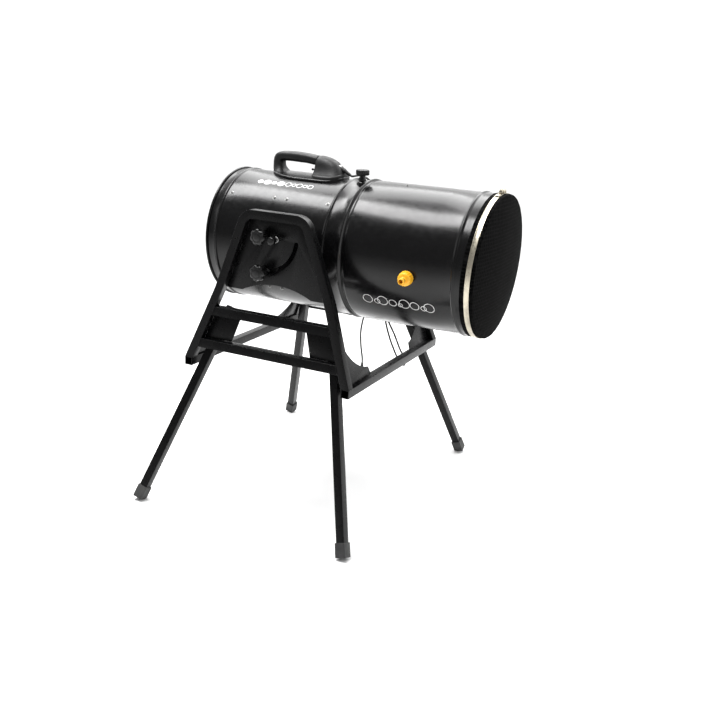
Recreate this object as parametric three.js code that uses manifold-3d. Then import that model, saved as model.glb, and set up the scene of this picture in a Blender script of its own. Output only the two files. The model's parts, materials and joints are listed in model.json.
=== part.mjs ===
// Foam machine: a blower drum and a foam chamber that tilt together on a four-legged stand.
// Millimetres. +X runs along the drum towards the outlet, +Y away from the operator's side, +Z up.
// The model is laid out around the stand's centre; at the end it is moved so that its origin is the
// middle of its footprint.

import * as THREE from 'three';
import { mergeVertices } from 'three/addons/utils/BufferGeometryUtils.js';
import Module from 'manifold-3d';

const wasm = await Module();
wasm.setup();

// Driving dimensions

const GAP = 0.3;            // between pieces that touch
const DRUM_SIDES = 48;      // facets of everything turned about the drum's axis

// drum
const AXIS_Z = 760;         // height of the drum's axis
const SHEET = 1.5;          // drum wall
const FAN_R = 195;          // blower drum, outside
const FAN_REAR = -285;
const SPIGOT_END = 150;     // front end of the blower drum, inside the chamber's sleeve
const SLEEVE_R = 198;       // chamber's sleeve, outside
const SLEEVE_START = 100;
const CHAMBER_START = 165;
const CHAMBER_R = 201;
const MOUTH = 559;
const MOUTH_LEAN = 0.038;    // how far the mouth runs forwards for each mm of height
const COVER_BULGE = 18;     // how far the mesh stands proud of the mouth
const BAND_X = 543;         // middle of the clamp band, level with the axis
const BAND_WIDTH = 14;

// stand
const TUBE = 25;            // square tube of the side frames
const TUBE_WALL = 2;
const FRAME_TOP = 880;
const FRAME_TOP_HALF = 104; // half the width at the top, before the corners are rounded
const FRAME_TAPER = 0.374;  // how fast each side leg runs outwards
const FRAME_BASE = 430;
const FRAME_FRONT = 280;    // distance of a side frame's outer face from the middle plane
const KNEE_Z = 645;         // below it the side frames lean outwards
const FLARE = 0.172;
const CORNER_R = 50;
const PLATE = 3;
const UPPER_BAR_TOP = 588;
const LOWER_BAR_TOP = 490;
const PIVOT_X = -40;
const PIVOT_Z = 810;
const SLOT_R = 101;         // from the pivot to the clamping stud
const SLOT_WIDTH = 13;
const TILT_MAX = 80;        // degrees, nose up
const LEG = 25;
const LEG_WALL = 1.5;
const LEG_AT = new THREE.Vector3(199, 264, 478);   // where a support leg passes the lower bar
const FOOT_AT = new THREE.Vector3(346, 450, 0);
const LEG_TOP_Z = 574;

// Materials

const finish = (color, roughness, metalness) =>
  new THREE.MeshStandardMaterial({ color, roughness, metalness });
const glossPaint = () => finish(0x0c0c0d, 0.28, 0.1);
const framePaint = () => finish(0x1b1b1c, 0.5, 0.1);
const plastic = () => finish(0x161616, 0.6, 0);
const rubber = () => finish(0x1a1a1a, 0.85, 0);
const zinc = () => finish(0xb9b4a4, 0.35, 0.9);
const steel = () => finish(0xa8a8a8, 0.3, 1);
const wire = () => finish(0x101010, 0.5, 0.2);
const orange = () => finish(0xf39a12, 0.45, 0);
const fabric = () => finish(0x0b0b0b, 0.95, 0);
const casting = () => finish(0x55575a, 0.5, 0.8);

// Solids

// One closed body with its faces pointing out: shared vertices merged, collapsed faces dropped.
function closed(geometry) {
  const bare = geometry.clone();
  for (const name of Object.keys(bare.attributes)) {
    if (name !== 'position') bare.deleteAttribute(name);
  }
  const merged = mergeVertices(bare, 1e-4);
  const at = merged.attributes.position;
  const faces = [];
  let volume = 0;
  const corner = [new THREE.Vector3(), new THREE.Vector3(), new THREE.Vector3()];
  for (let i = 0; i < merged.index.count; i += 3) {
    const face = [0, 1, 2].map((k) => merged.index.getX(i + k));
    if (face[0] === face[1] || face[1] === face[2] || face[2] === face[0]) continue;
    face.forEach((v, k) => corner[k].fromBufferAttribute(at, v));
    volume += corner[0].dot(corner[1].clone().cross(corner[2]));
    faces.push(face);
  }
  const ordered = volume < 0 ? faces.map(([a, b, c]) => [a, c, b]) : faces;
  merged.setIndex(ordered.flat());
  return merged;
}

function toManifold(geometry) {
  const body = closed(geometry);
  return new wasm.Manifold(new wasm.Mesh({
    numProp: 3,
    vertProperties: new Float32Array(body.attributes.position.array),
    triVerts: new Uint32Array(body.index.array),
  }));
}

function fromManifold(body) {
  const mesh = body.getMesh();
  const geometry = new THREE.BufferGeometry();
  geometry.setAttribute('position', new THREE.BufferAttribute(mesh.vertProperties, 3));
  geometry.setIndex(Array.from(mesh.triVerts));
  return geometry;
}

const join = (...parts) =>
  fromManifold(parts.map(toManifold).reduce((whole, part) => whole.add(part)));

const cut = (body, ...tools) =>
  fromManifold(tools.map(toManifold).reduce((left, tool) => left.subtract(tool), toManifold(body)));

const keep = (body, tool) => fromManifold(toManifold(body).intersect(toManifold(tool)));

// A box by its lowest and highest corners.
function block(low, high) {
  const size = high.map((v, i) => v - low[i]);
  const geometry = new THREE.BoxGeometry(...size);
  geometry.translate(...low.map((v, i) => v + size[i] / 2));
  return geometry;
}

// A profile of [along, radius] points turned about the X axis.
function turned(profile, sides = DRUM_SIDES) {
  const points = profile.map(([along, radius]) => new THREE.Vector2(radius, along));
  const geometry = new THREE.LatheGeometry(points, sides);
  geometry.rotateZ(-Math.PI / 2);
  return geometry;
}

// The same about the drum's own axis.
function turnedOnDrum(profile) {
  const geometry = turned(profile);
  geometry.translate(0, 0, AXIS_Z);
  return geometry;
}

// A round bar about the drum's axis, used to fit pieces to the drum.
const drumBar = (radius, from, to) =>
  turnedOnDrum([[from, 0], [from, radius], [to, radius], [to, 0]]);

// A profile of [out, radius] points turned about an axis parallel to Y, out being towards the
// operator.
function turnedOutwards(profile, x, z, sides = 24) {
  const points = profile.map(([out, radius]) => new THREE.Vector2(radius, out));
  const geometry = new THREE.LatheGeometry(points, sides);
  geometry.rotateX(Math.PI);
  geometry.translate(x, 0, z);
  return geometry;
}

// A profile of [up, radius] points turned about an upright axis.
function turnedUpright(profile, x, y, sides = 24) {
  const points = profile.map(([up, radius]) => new THREE.Vector2(radius, up));
  const geometry = new THREE.LatheGeometry(points, sides);
  geometry.rotateX(Math.PI / 2);
  geometry.translate(x, y, 0);
  return geometry;
}

// An outline in the XZ plane given thickness in Y, from far (low y) to near.
function slab(shape, yLow, yHigh, options = {}) {
  const bevel = options.bevel ?? 0;
  const geometry = new THREE.ExtrudeGeometry(shape, {
    depth: yHigh - yLow - 2 * bevel,
    bevelEnabled: bevel > 0,
    bevelThickness: bevel,
    bevelSize: bevel,
    bevelOffset: -bevel,
    bevelSegments: options.bevelSegments ?? 2,
    curveSegments: options.curveSegments ?? 8,
  });
  geometry.rotateX(Math.PI / 2);
  geometry.translate(0, yHigh - bevel, 0);
  return geometry;
}

const polygon = (points) => new THREE.Shape(points.map(([x, z]) => new THREE.Vector2(x, z)));

function mirrorY(geometry) {
  const copy = closed(geometry);
  copy.scale(1, -1, 1);
  return closed(copy);
}

function mirrorX(geometry) {
  const copy = closed(geometry);
  copy.scale(-1, 1, 1);
  return closed(copy);
}

const foamMachine = new THREE.Group();
const cordSet = new THREE.Group();

function add(name, geometry, material, group = foamMachine) {
  const mesh = new THREE.Mesh(closed(geometry), material);
  mesh.name = name;
  group.add(mesh);
  return mesh;
}

// Stand: side frames

const legOutside = (z) => FRAME_TOP_HALF + FRAME_TAPER * (FRAME_TOP - z);
const TUBE_ACROSS = TUBE * Math.hypot(1, FRAME_TAPER);   // a side leg's width, measured level
const legInside = (z) => legOutside(z) - TUBE_ACROSS;
const frontAt = (z) => -FRAME_FRONT - FLARE * Math.max(0, KNEE_Z - z);
const backAt = (z) => frontAt(z) + TUBE;

// The outline between the frame's top and a height, `inset` inside its outer edge, with round corners.
function hoopOutline(inset, bottom, radius) {
  const across = inset * Math.hypot(1, FRAME_TAPER);
  const half = (z) => legOutside(z) - across;
  const top = FRAME_TOP - inset;
  const lean = Math.atan(FRAME_TAPER);
  const reach = radius * Math.tan((Math.PI / 2 - lean) / 2);
  const cornerX = half(top) - reach;
  const shape = new THREE.Shape();
  shape.moveTo(-half(bottom), bottom);
  shape.lineTo(-half(top) - reach * Math.sin(lean), top - reach * Math.cos(lean));
  shape.absarc(-cornerX, top - radius, radius, Math.PI - lean, Math.PI / 2, true);
  shape.absarc(cornerX, top - radius, radius, Math.PI / 2, lean, true);
  shape.lineTo(half(bottom), bottom);
  shape.closePath();
  return shape;
}

// Moves what lies below the knee outwards, along with the side frame.
function flared(geometry) {
  const body = closed(geometry);
  const at = body.attributes.position;
  for (let i = 0; i < at.count; i += 1) {
    const below = Math.max(0, KNEE_Z - at.getZ(i));
    at.setY(i, at.getY(i) - FLARE * below);
  }
  return body;
}

// The hoop as a solid, `inset` smaller all round; its legs run down to `base`.
function hoopSolid(inset, base) {
  const yLow = -FRAME_FRONT + inset;
  const yHigh = -FRAME_FRONT + TUBE - inset;
  const inner = hoopOutline(TUBE - inset, KNEE_Z - 1, CORNER_R - TUBE + inset);
  const arch = cut(
    slab(hoopOutline(inset, KNEE_Z, CORNER_R - inset), yLow, yHigh),
    slab(inner, yLow - 5, yHigh + 5),
  );
  const across = inset * Math.hypot(1, FRAME_TAPER);
  const outside = (z) => legOutside(z) - across;
  const inside = (z) => legInside(z) + across;
  const leg = flared(slab(polygon([
    [inside(KNEE_Z), KNEE_Z], [outside(KNEE_Z), KNEE_Z], [outside(base), base], [inside(base), base],
  ]), yLow, yHigh));
  return join(arch, leg, mirrorX(leg));
}

function sideFrameHoop() {
  return cut(hoopSolid(0, FRAME_BASE + GAP), hoopSolid(TUBE_WALL, FRAME_BASE - 5));
}

// A bar of square tube between the side legs, flush with their faces.
function crossbar(top) {
  const bottom = top - TUBE;
  const half = (z) => legInside(z) - GAP;
  const bar = (inset, more) => flared(slab(polygon([
    [-half(bottom) - more, bottom + inset],
    [half(bottom) + more, bottom + inset],
    [half(top) + more, top - inset],
    [-half(top) - more, top - inset],
  ]), -FRAME_FRONT + inset, -FRAME_FRONT + TUBE - inset));
  return cut(bar(0, 0), bar(TUBE_WALL, 5));
}

const PLATE_FLAT_Z = 645;
const PLATE_ARC_HALF = 112;
const PLATE_ARC_RISE = 27;
const PLUNGER_R = 40;                         // from the pivot to the index plunger
const PLUNGER_ANGLE = THREE.MathUtils.degToRad(-10);
const PLUNGER_X = PIVOT_X + PLUNGER_R * Math.cos(PLUNGER_ANGLE);
const PLUNGER_Z = PIVOT_Z + PLUNGER_R * Math.sin(PLUNGER_ANGLE);

// An arc-shaped slot around the pivot, from straight below it towards the front.
function tiltSlot() {
  const from = -Math.PI / 2;
  const to = from + THREE.MathUtils.degToRad(TILT_MAX + 2);
  const start = from - THREE.MathUtils.degToRad(1);
  const half = SLOT_WIDTH / 2;
  const end = (angle) => [PIVOT_X + SLOT_R * Math.cos(angle), PIVOT_Z + SLOT_R * Math.sin(angle)];
  const slot = new THREE.Path();
  slot.absarc(PIVOT_X, PIVOT_Z, SLOT_R + half, start, to, false);
  slot.absarc(...end(to), half, to, to + Math.PI, false);
  slot.absarc(PIVOT_X, PIVOT_Z, SLOT_R - half, to, start, true);
  slot.absarc(...end(start), half, start + Math.PI, start + 2 * Math.PI, false);
  slot.closePath();
  return slot;
}

function hole(x, z, radius) {
  const circle = new THREE.Path();
  circle.absarc(x, z, radius, 0, 2 * Math.PI, false);
  return circle;
}

const BOLT_R = 6;
const PLUNGER_BODY_R = 6;

function pivotPlate(withPlunger) {
  const top = FRAME_TOP - TUBE - GAP;
  const half = (z) => legInside(z) - GAP;
  const radius = CORNER_R - TUBE;
  const lean = Math.atan(FRAME_TAPER);
  const reach = radius * Math.tan((Math.PI / 2 - lean) / 2);
  const arcR = (PLATE_ARC_HALF ** 2 + PLATE_ARC_RISE ** 2) / (2 * PLATE_ARC_RISE);
  const arcZ = PLATE_FLAT_Z + PLATE_ARC_RISE - arcR;
  const arcEnd = Math.asin(PLATE_ARC_HALF / arcR);
  const shape = new THREE.Shape();
  shape.moveTo(-half(PLATE_FLAT_Z), PLATE_FLAT_Z);
  shape.lineTo(-half(top) - reach * Math.sin(lean), top - reach * Math.cos(lean));
  shape.absarc(reach - half(top), top - radius, radius, Math.PI - lean, Math.PI / 2, true);
  shape.absarc(half(top) - reach, top - radius, radius, Math.PI / 2, lean, true);
  shape.lineTo(half(PLATE_FLAT_Z), PLATE_FLAT_Z);
  shape.lineTo(PLATE_ARC_HALF, PLATE_FLAT_Z);
  shape.absarc(0, arcZ, arcR, Math.PI / 2 - arcEnd, Math.PI / 2 + arcEnd, false);
  shape.closePath();
  shape.holes.push(tiltSlot(), hole(PIVOT_X, PIVOT_Z, BOLT_R + 0.5));
  if (withPlunger) shape.holes.push(hole(PLUNGER_X, PLUNGER_Z, PLUNGER_BODY_R + 0.3));
  const back = -FRAME_FRONT + TUBE;
  return slab(shape, back - PLATE, back, { curveSegments: 8 });
}

const WINDOW_TOP_HALF = 108;      // half the opening between the lower plates
const WINDOW_BOTTOM_HALF = 130;

// The plate that fills the corner between the two crossbars, at the frame's back face.
function cornerPlate() {
  const top = UPPER_BAR_TOP - TUBE - GAP;
  const bottom = LOWER_BAR_TOP + GAP;
  const half = (z) => legInside(z) - GAP;
  return flared(slab(polygon([
    [half(bottom), bottom], [half(top), top], [WINDOW_TOP_HALF, top], [WINDOW_BOTTOM_HALF, bottom],
  ]), -FRAME_FRONT + TUBE - PLATE, -FRAME_FRONT + TUBE));
}

for (const [side, place] of [['near', (g) => g], ['far', mirrorY]]) {
  add(`${side}_frame_hoop`, place(sideFrameHoop()), framePaint());
  add(`${side}_upper_crossbar`, place(crossbar(UPPER_BAR_TOP)), framePaint());
  add(`${side}_lower_crossbar`, place(crossbar(LOWER_BAR_TOP)), framePaint());
  add(`${side}_pivot_plate`, place(pivotPlate(side === 'near')), framePaint());
  add(`${side}_front_corner_plate`, place(cornerPlate()), framePaint());
  add(`${side}_rear_corner_plate`, place(mirrorX(cornerPlate())), framePaint());
}

// Stand: cross tubes and their gussets

const CROSS_TUBE_HALF = -frontAt(FRAME_BASE);

function crossTube() {
  const outside = legOutside(FRAME_BASE);
  const low = [outside - TUBE, -CROSS_TUBE_HALF, FRAME_BASE - TUBE];
  const high = [outside, CROSS_TUBE_HALF, FRAME_BASE];
  const wall = [TUBE_WALL, -5, TUBE_WALL];
  return cut(
    block(low, high),
    block(low.map((v, i) => v + wall[i]), high.map((v, i) => v - wall[i])),
  );
}

const GUSSET_REACH = 150;   // along the cross tube
const GUSSET_RISE = 125;    // up the leg
const GUSSET_NOSE = 20;
const GUSSET_INSET = 21;    // from the leg's outer face

// A web in the corner between a side leg and the cross tube, with a hollow curved edge.
function gusset() {
  const base = FRAME_BASE + GAP;
  const y0 = backAt(base) + GAP;
  const yTop = backAt(base + GUSSET_RISE) + GAP;
  const shape = new THREE.Shape();
  shape.moveTo(y0, base);
  shape.lineTo(y0 + GUSSET_REACH, base);
  shape.lineTo(y0 + GUSSET_REACH - 4, base + GUSSET_NOSE);
  shape.quadraticCurveTo(y0 + 55, base + 34, yTop + 6, base + GUSSET_RISE);
  shape.lineTo(yTop, base + GUSSET_RISE);
  shape.closePath();
  const geometry = new THREE.ExtrudeGeometry(shape, {
    depth: PLATE, bevelEnabled: false, curveSegments: 10,
  });
  // outline (y, z) with its thickness along x
  const basis = new THREE.Matrix4().makeBasis(
    new THREE.Vector3(0, 1, 0), new THREE.Vector3(0, 0, 1), new THREE.Vector3(1, 0, 0),
  );
  geometry.applyMatrix4(basis);
  const body = closed(geometry);
  const at = body.attributes.position;
  for (let i = 0; i < at.count; i += 1) {
    at.setX(i, at.getX(i) + legOutside(at.getZ(i)) - GUSSET_INSET);
  }
  return body;
}

add('front_cross_tube', crossTube(), framePaint());
add('rear_cross_tube', mirrorX(crossTube()), framePaint());
add('near_front_gusset', gusset(), framePaint());
add('near_rear_gusset', mirrorX(gusset()), framePaint());
add('far_front_gusset', mirrorY(gusset()), framePaint());
add('far_rear_gusset', mirrorY(mirrorX(gusset())), framePaint());

// Stand: support legs, their sockets and feet

const legWay = LEG_AT.clone().sub(FOOT_AT).normalize();

// Turns a piece built along +Z from the foot point into the far front leg's direction.
function alongLeg(geometry) {
  const side = new THREE.Vector3().crossVectors(new THREE.Vector3(0, 1, 0), legWay).normalize();
  const depth = new THREE.Vector3().crossVectors(legWay, side).normalize();
  const turn = new THREE.Matrix4().makeBasis(side, depth, legWay).setPosition(FOOT_AT);
  const copy = geometry.clone();
  copy.applyMatrix4(turn);
  return copy;
}

const squareBar = (width, from, to) =>
  block([-width / 2, -width / 2, from], [width / 2, width / 2, to]);

const LEG_LENGTH = LEG_TOP_Z / legWay.z;
const FOOT_WIDTH = 31;
const FOOT_HEIGHT = 40;
const FOOT_WEAR = 4;        // height of the cap's lowest corner that is cut flat to the ground
const capCorner = new THREE.Box3().setFromBufferAttribute(
  alongLeg(squareBar(FOOT_WIDTH, 0, 1)).getAttribute('position'),
).min.z;
const FOOT_END = -(capCorner + FOOT_WEAR) / legWay.z;    // square-cut end of the cap, up the leg
const LEG_SEAT = FOOT_END + 6;

function supportLeg() {
  return alongLeg(cut(
    squareBar(LEG, LEG_SEAT, LEG_LENGTH),
    squareBar(LEG - 2 * LEG_WALL, LEG_SEAT - 5, LEG_LENGTH - 3),
  ));
}

// A square rubber cap in line with the leg, which rests on its lowest corner.
function foot() {
  const cup = cut(
    squareBar(FOOT_WIDTH, FOOT_END, FOOT_END + FOOT_HEIGHT),
    squareBar(LEG + 2 * GAP, LEG_SEAT - GAP, FOOT_END + FOOT_HEIGHT + 5),
  );
  return keep(alongLeg(cup), block([0, 0, 0], [600, 600, 80]));
}

for (const [corner, place] of [
  ['far_front', (g) => g],
  ['far_rear', mirrorX],
  ['near_front', mirrorY],
  ['near_rear', (g) => mirrorX(mirrorY(g))],
]) {
  add(`${corner}_leg`, place(supportLeg()), framePaint());
  add(`${corner}_foot`, place(foot()), rubber());
}

// Blower drum

const RIM = 4;
const REAR_BEAD_X = -250;

// A drum wall: [along, radius] points of its outside, then of its plain inside, both front to back.
const drumWall = (outside, inside) => [...outside, ...inside.reverse(), outside[0]];

// Points of a rolled bead of a given height and width.
const bead = (x, base, height, half) => [
  [x - half, base], [x - half * 0.45, base + height], [x + half * 0.45, base + height], [x + half, base],
];

add('blower_drum', turnedOnDrum(drumWall([
  [FAN_REAR, FAN_R + RIM * 0.4],
  [FAN_REAR + 2, FAN_R + RIM],
  [FAN_REAR + 7, FAN_R + RIM],
  [FAN_REAR + 10, FAN_R],
  ...bead(REAR_BEAD_X, FAN_R, 3.5, 6),
  [SPIGOT_END, FAN_R],
], [[FAN_REAR, FAN_R - SHEET], [SPIGOT_END, FAN_R - SHEET]])), glossPaint());

function rearGuard() {
  const x = FAN_REAR + 12;
  const rings = [34, 73, 112, 151, FAN_R - SHEET - 3].map((radius) => {
    const ring = new THREE.TorusGeometry(radius, 2.2, 4, 24);
    ring.rotateY(Math.PI / 2);
    ring.translate(x, 0, AXIS_Z);
    return ring;
  });
  const spokes = [0, 1, 2, 3].map((i) => {
    const reach = FAN_R - SHEET - 4;
    const spoke = block([x - 2, -reach, -2], [x + 2, reach, 2]);
    spoke.rotateX((i * Math.PI) / 4 + 0.2);
    spoke.translate(0, 0, AXIS_Z);
    return spoke;
  });
  return join(...rings, ...spokes);
}
add('rear_guard', rearGuard(), wire());

const MOTOR_R = 60;
const MOTOR_REAR = -150;
const MOTOR_FRONT = -20;
const SHAFT_R = 7;
const BRACKET_X = -65;                         // middle of the motor bracket
const BRACKET_HALF = 32;
const ARM_ANGLES = [45, 129, -45, -129];       // from the top, round the drum

add('fan_motor', turnedOnDrum([
  [MOTOR_REAR, 0], [MOTOR_REAR, MOTOR_R * 0.6], [MOTOR_REAR + 12, MOTOR_R],
  [MOTOR_FRONT - 12, MOTOR_R], [MOTOR_FRONT, MOTOR_R * 0.6], [MOTOR_FRONT, SHAFT_R + GAP],
  [MOTOR_FRONT - 30, SHAFT_R + GAP], [MOTOR_FRONT - 30, 0],
]), casting());

function motorBracket() {
  const inner = MOTOR_R + GAP;
  const outer = inner + 4;
  const low = BRACKET_X - BRACKET_HALF;
  const high = BRACKET_X + BRACKET_HALF;
  const ring = turnedOnDrum([[low, inner], [low, outer], [high, outer], [high, inner], [low, inner]]);
  const reach = FAN_R - SHEET - 1;
  const arms = ARM_ANGLES.map((degrees) => {
    const arm = join(
      block([low, -2, inner + 2], [high, 2, reach]),
      block([low, -15, reach - 7], [high, 15, reach - 3]),
    );
    const turnedArm = arm.clone();
    turnedArm.rotateX(THREE.MathUtils.degToRad(degrees));
    turnedArm.translate(0, 0, AXIS_Z);
    return turnedArm;
  });
  return join(ring, ...arms);
}
add('motor_bracket', motorBracket(), framePaint());

const HUB_R = 44;
const HUB_REAR = -8;
const HUB_FRONT = 42;
const BLADE_TIP = 185;
const BLADES = 6;

// A blade that runs out from the hub and twists flatter towards its tip.
function blade(index) {
  const root = HUB_R - 5;
  const length = BLADE_TIP - root;
  const geometry = new THREE.BoxGeometry(64, 3, length, 2, 1, 4);
  const at = geometry.attributes.position;
  for (let i = 0; i < at.count; i += 1) {
    const along = (at.getZ(i) + length / 2) / length;
    const pitch = THREE.MathUtils.degToRad(48 - 26 * along);
    const chord = at.getX(i) * (0.8 + 0.35 * along);
    const thick = at.getY(i);
    at.setXYZ(
      i,
      chord * Math.sin(pitch) - thick * Math.cos(pitch),
      chord * Math.cos(pitch) + thick * Math.sin(pitch),
      at.getZ(i) + length / 2 + root,
    );
  }
  geometry.translate((HUB_REAR + HUB_FRONT) / 2, 0, 0);
  geometry.rotateX((index * 2 * Math.PI) / BLADES);
  geometry.translate(0, 0, AXIS_Z);
  return geometry;
}

function impeller() {
  const hub = turnedOnDrum([
    [HUB_REAR, 0], [HUB_REAR, HUB_R], [HUB_FRONT - 8, HUB_R], [HUB_FRONT, HUB_R * 0.7], [HUB_FRONT, 0],
  ]);
  const shaft = turnedOnDrum([
    [MOTOR_FRONT - 28, 0], [MOTOR_FRONT - 28, SHAFT_R], [HUB_REAR + 5, SHAFT_R], [HUB_REAR + 5, 0],
  ]);
  return join(hub, shaft, ...Array.from({ length: BLADES }, (_, i) => blade(i)));
}
add('impeller', impeller(), plastic());

// Tilt brackets: a channel on each side of the drum that carries the pivot and the clamping stud

const WEB_OUT = 250;        // outer face of the channel, from the middle plane
const WEB = 4;
const CHANNEL_HALF = 40;
const CHANNEL_RISE = 72;
const STUD_Z = PIVOT_Z - SLOT_R;

function tiltBracket() {
  const low = AXIS_Z - CHANNEL_RISE;
  const high = AXIS_Z + CHANNEL_RISE + 8;
  const x0 = PIVOT_X - CHANNEL_HALF;
  const x1 = PIVOT_X + CHANNEL_HALF;
  const web = block([x0, -WEB_OUT, low], [x1, -WEB_OUT + WEB, high]);
  const rear = block([x0, -WEB_OUT, low], [x0 + WEB, -120, high]);
  const front = block([x1 - WEB, -WEB_OUT, low], [x1, -120, high]);
  return cut(
    join(web, rear, front),
    drumBar(FAN_R + GAP, x0 - 5, x1 + 5),
    turnedOutwards([[200, 0], [200, BOLT_R + GAP], [300, BOLT_R + GAP], [300, 0]], PIVOT_X, PIVOT_Z),
    turnedOutwards([[200, 0], [200, BOLT_R + GAP], [300, BOLT_R + GAP], [300, 0]], PIVOT_X, STUD_Z),
  );
}

// A bolt whose head is inside the channel; its shank runs out through the plate into the knob.
function throughBolt(z) {
  return turnedOutwards([
    [WEB_OUT - WEB - 9, 0], [WEB_OUT - WEB - 9, 10], [WEB_OUT - WEB - GAP, 10],
    [WEB_OUT - WEB - GAP, BOLT_R], [FRAME_FRONT + 12, BOLT_R], [FRAME_FRONT + 12, 0],
  ], PIVOT_X, z, 16);
}

const KNOB_R = 25;
const KNOB_LOBES = 7;
const KNOB_BACK = FRAME_FRONT - TUBE + PLATE + 1;   // seated on the plate's face
const KNOB_FRONT = FRAME_FRONT + 24;

// A star knob with a collar that seats on the plate.
function starKnob(z) {
  const shape = new THREE.Shape();
  const points = KNOB_LOBES * 5;
  for (let i = 0; i < points; i += 1) {
    const angle = (i * 2 * Math.PI) / points;
    const radius = KNOB_R - 3 + 3 * Math.cos(KNOB_LOBES * angle);
    const at = [PIVOT_X + radius * Math.cos(angle), z + radius * Math.sin(angle)];
    if (i === 0) shape.moveTo(...at);
    else shape.lineTo(...at);
  }
  shape.closePath();
  const star = slab(shape, -KNOB_FRONT, -KNOB_FRONT + 19, { bevel: 2.5, bevelSegments: 1 });
  const collar = turnedOutwards([
    [KNOB_BACK, 0], [KNOB_BACK, 13], [KNOB_FRONT - 8, 13], [KNOB_FRONT - 8, 0],
  ], PIVOT_X, z);
  const bore = turnedOutwards([
    [KNOB_BACK - 5, 0], [KNOB_BACK - 5, BOLT_R + GAP], [FRAME_FRONT + 13, BOLT_R + GAP],
    [FRAME_FRONT + 13, 0],
  ], PIVOT_X, z, 16);
  return cut(join(star, collar), bore);
}

for (const [side, place] of [['near', (g) => g], ['far', mirrorY]]) {
  add(`${side}_tilt_bracket`, place(tiltBracket()), framePaint());
  add(`${side}_pivot_bolt`, place(throughBolt(PIVOT_Z)), steel());
  add(`${side}_clamp_stud`, place(throughBolt(STUD_Z)), steel());
  add(`${side}_pivot_knob`, place(starKnob(PIVOT_Z)), plastic());
  add(`${side}_clamp_knob`, place(starKnob(STUD_Z)), plastic());
}

// Index plunger on the near plate

const PIN_R = 3;
const plateFace = FRAME_FRONT - TUBE + PLATE;

add('plunger_sleeve', cut(
  join(
    turnedOutwards([
      [plateFace + GAP, 0], [plateFace + GAP, 9.5], [plateFace + 12, 9.5], [plateFace + 12, 0],
    ], PLUNGER_X, PLUNGER_Z, 6),
    turnedOutwards([
      [plateFace - PLATE, 0], [plateFace - PLATE, PLUNGER_BODY_R], [plateFace + 15, PLUNGER_BODY_R],
      [plateFace + 15, 0],
    ], PLUNGER_X, PLUNGER_Z, 16),
  ),
  turnedOutwards([
    [plateFace - 10, 0], [plateFace - 10, PIN_R + GAP], [plateFace + 20, PIN_R + GAP],
    [plateFace + 20, 0],
  ], PLUNGER_X, PLUNGER_Z, 16),
), steel());
add('plunger_knob', turnedOutwards([
  [WEB_OUT + 1, 0], [WEB_OUT + 1, PIN_R], [plateFace + 16, PIN_R], [plateFace + 16, 8],
  [plateFace + 22, 8.5], [plateFace + 24, 11], [plateFace + 36, 11.5], [plateFace + 39, 9.5],
  [plateFace + 39, 0],
], PLUNGER_X, PLUNGER_Z, 16), plastic());

// Carrying handle and switch housing on top of the blower drum

const SADDLE = 5.5;
const SADDLE_REAR = -166;
const SADDLE_FRONT = 72;
const SADDLE_HALF = 62;
const SADDLE_TAPER = [110, 56];   // half axes of the rear corners, seen from above
const SADDLE_NOSE = 50;           // radius of the front corners
const SEAM_X = -18;

function saddle() {
  const shape = new THREE.Shape();
  const [long, wide] = SADDLE_TAPER;
  const nose = SADDLE_NOSE;
  const quarter = Math.PI / 2;
  shape.absarc(SADDLE_FRONT - nose, SADDLE_HALF - nose, nose, 0, quarter, false);
  shape.absellipse(SADDLE_REAR + long, SADDLE_HALF - wide, long, wide, quarter, 2 * quarter, false);
  shape.absellipse(SADDLE_REAR + long, wide - SADDLE_HALF, long, wide, 2 * quarter, 3 * quarter, false);
  shape.absarc(SADDLE_FRONT - nose, nose - SADDLE_HALF, nose, 3 * quarter, 4 * quarter, false);
  shape.closePath();
  const plan = new THREE.ExtrudeGeometry(shape, { depth: 120, bevelEnabled: false, curveSegments: 8 });
  plan.translate(0, 0, AXIS_Z + 100);
  const skin = cut(
    drumBar(FAN_R + GAP + SADDLE, SADDLE_REAR - 5, SADDLE_FRONT + 5),
    drumBar(FAN_R + GAP, SADDLE_REAR - 10, SADDLE_FRONT + 10),
  );
  return keep(plan, skin);
}

const saddleCutter = () =>
  drumBar(FAN_R + GAP + SADDLE + GAP, SADDLE_REAR - 20, SADDLE_FRONT + 20);

const GRIP_HALF = 19;
const GRIP_TOP = AXIS_Z + 260;
const GRIP_THICK = 30;
const POST_REAR = -170;
const POST_FRONT = -137;

function grip() {
  const low = AXIS_Z + 180;
  const under = GRIP_TOP - GRIP_THICK;
  const end = SEAM_X - GAP;
  const shape = new THREE.Shape();
  shape.moveTo(POST_REAR - 1, low);
  shape.lineTo(POST_REAR, GRIP_TOP - 34);
  shape.bezierCurveTo(POST_REAR, GRIP_TOP - 10, POST_REAR + 18, GRIP_TOP - 2, POST_REAR + 46, GRIP_TOP);
  shape.bezierCurveTo(-96, GRIP_TOP + 1, -50, GRIP_TOP, end, GRIP_TOP - 5);
  shape.lineTo(end, under - 6);
  shape.bezierCurveTo(-50, under - 1, -90, under, POST_FRONT + 10, under);
  shape.bezierCurveTo(POST_FRONT + 2, under, POST_FRONT, under - 4, POST_FRONT, under - 10);
  shape.lineTo(POST_FRONT, under - 20);
  shape.lineTo(POST_FRONT + 10, low);
  shape.closePath();
  return cut(
    slab(shape, -GRIP_HALF, GRIP_HALF, { bevel: 6, bevelSegments: 2, curveSegments: 6 }),
    saddleCutter(),
  );
}

const BUTTON_Z = AXIS_Z + 213;
const BUTTON_R = 2.6;
const BUTTON_REACH = 24;
const GLAND_X = 65;
const GLAND_Z = AXIS_Z + 219;
const HOUSING_HALF = 34;

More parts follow.
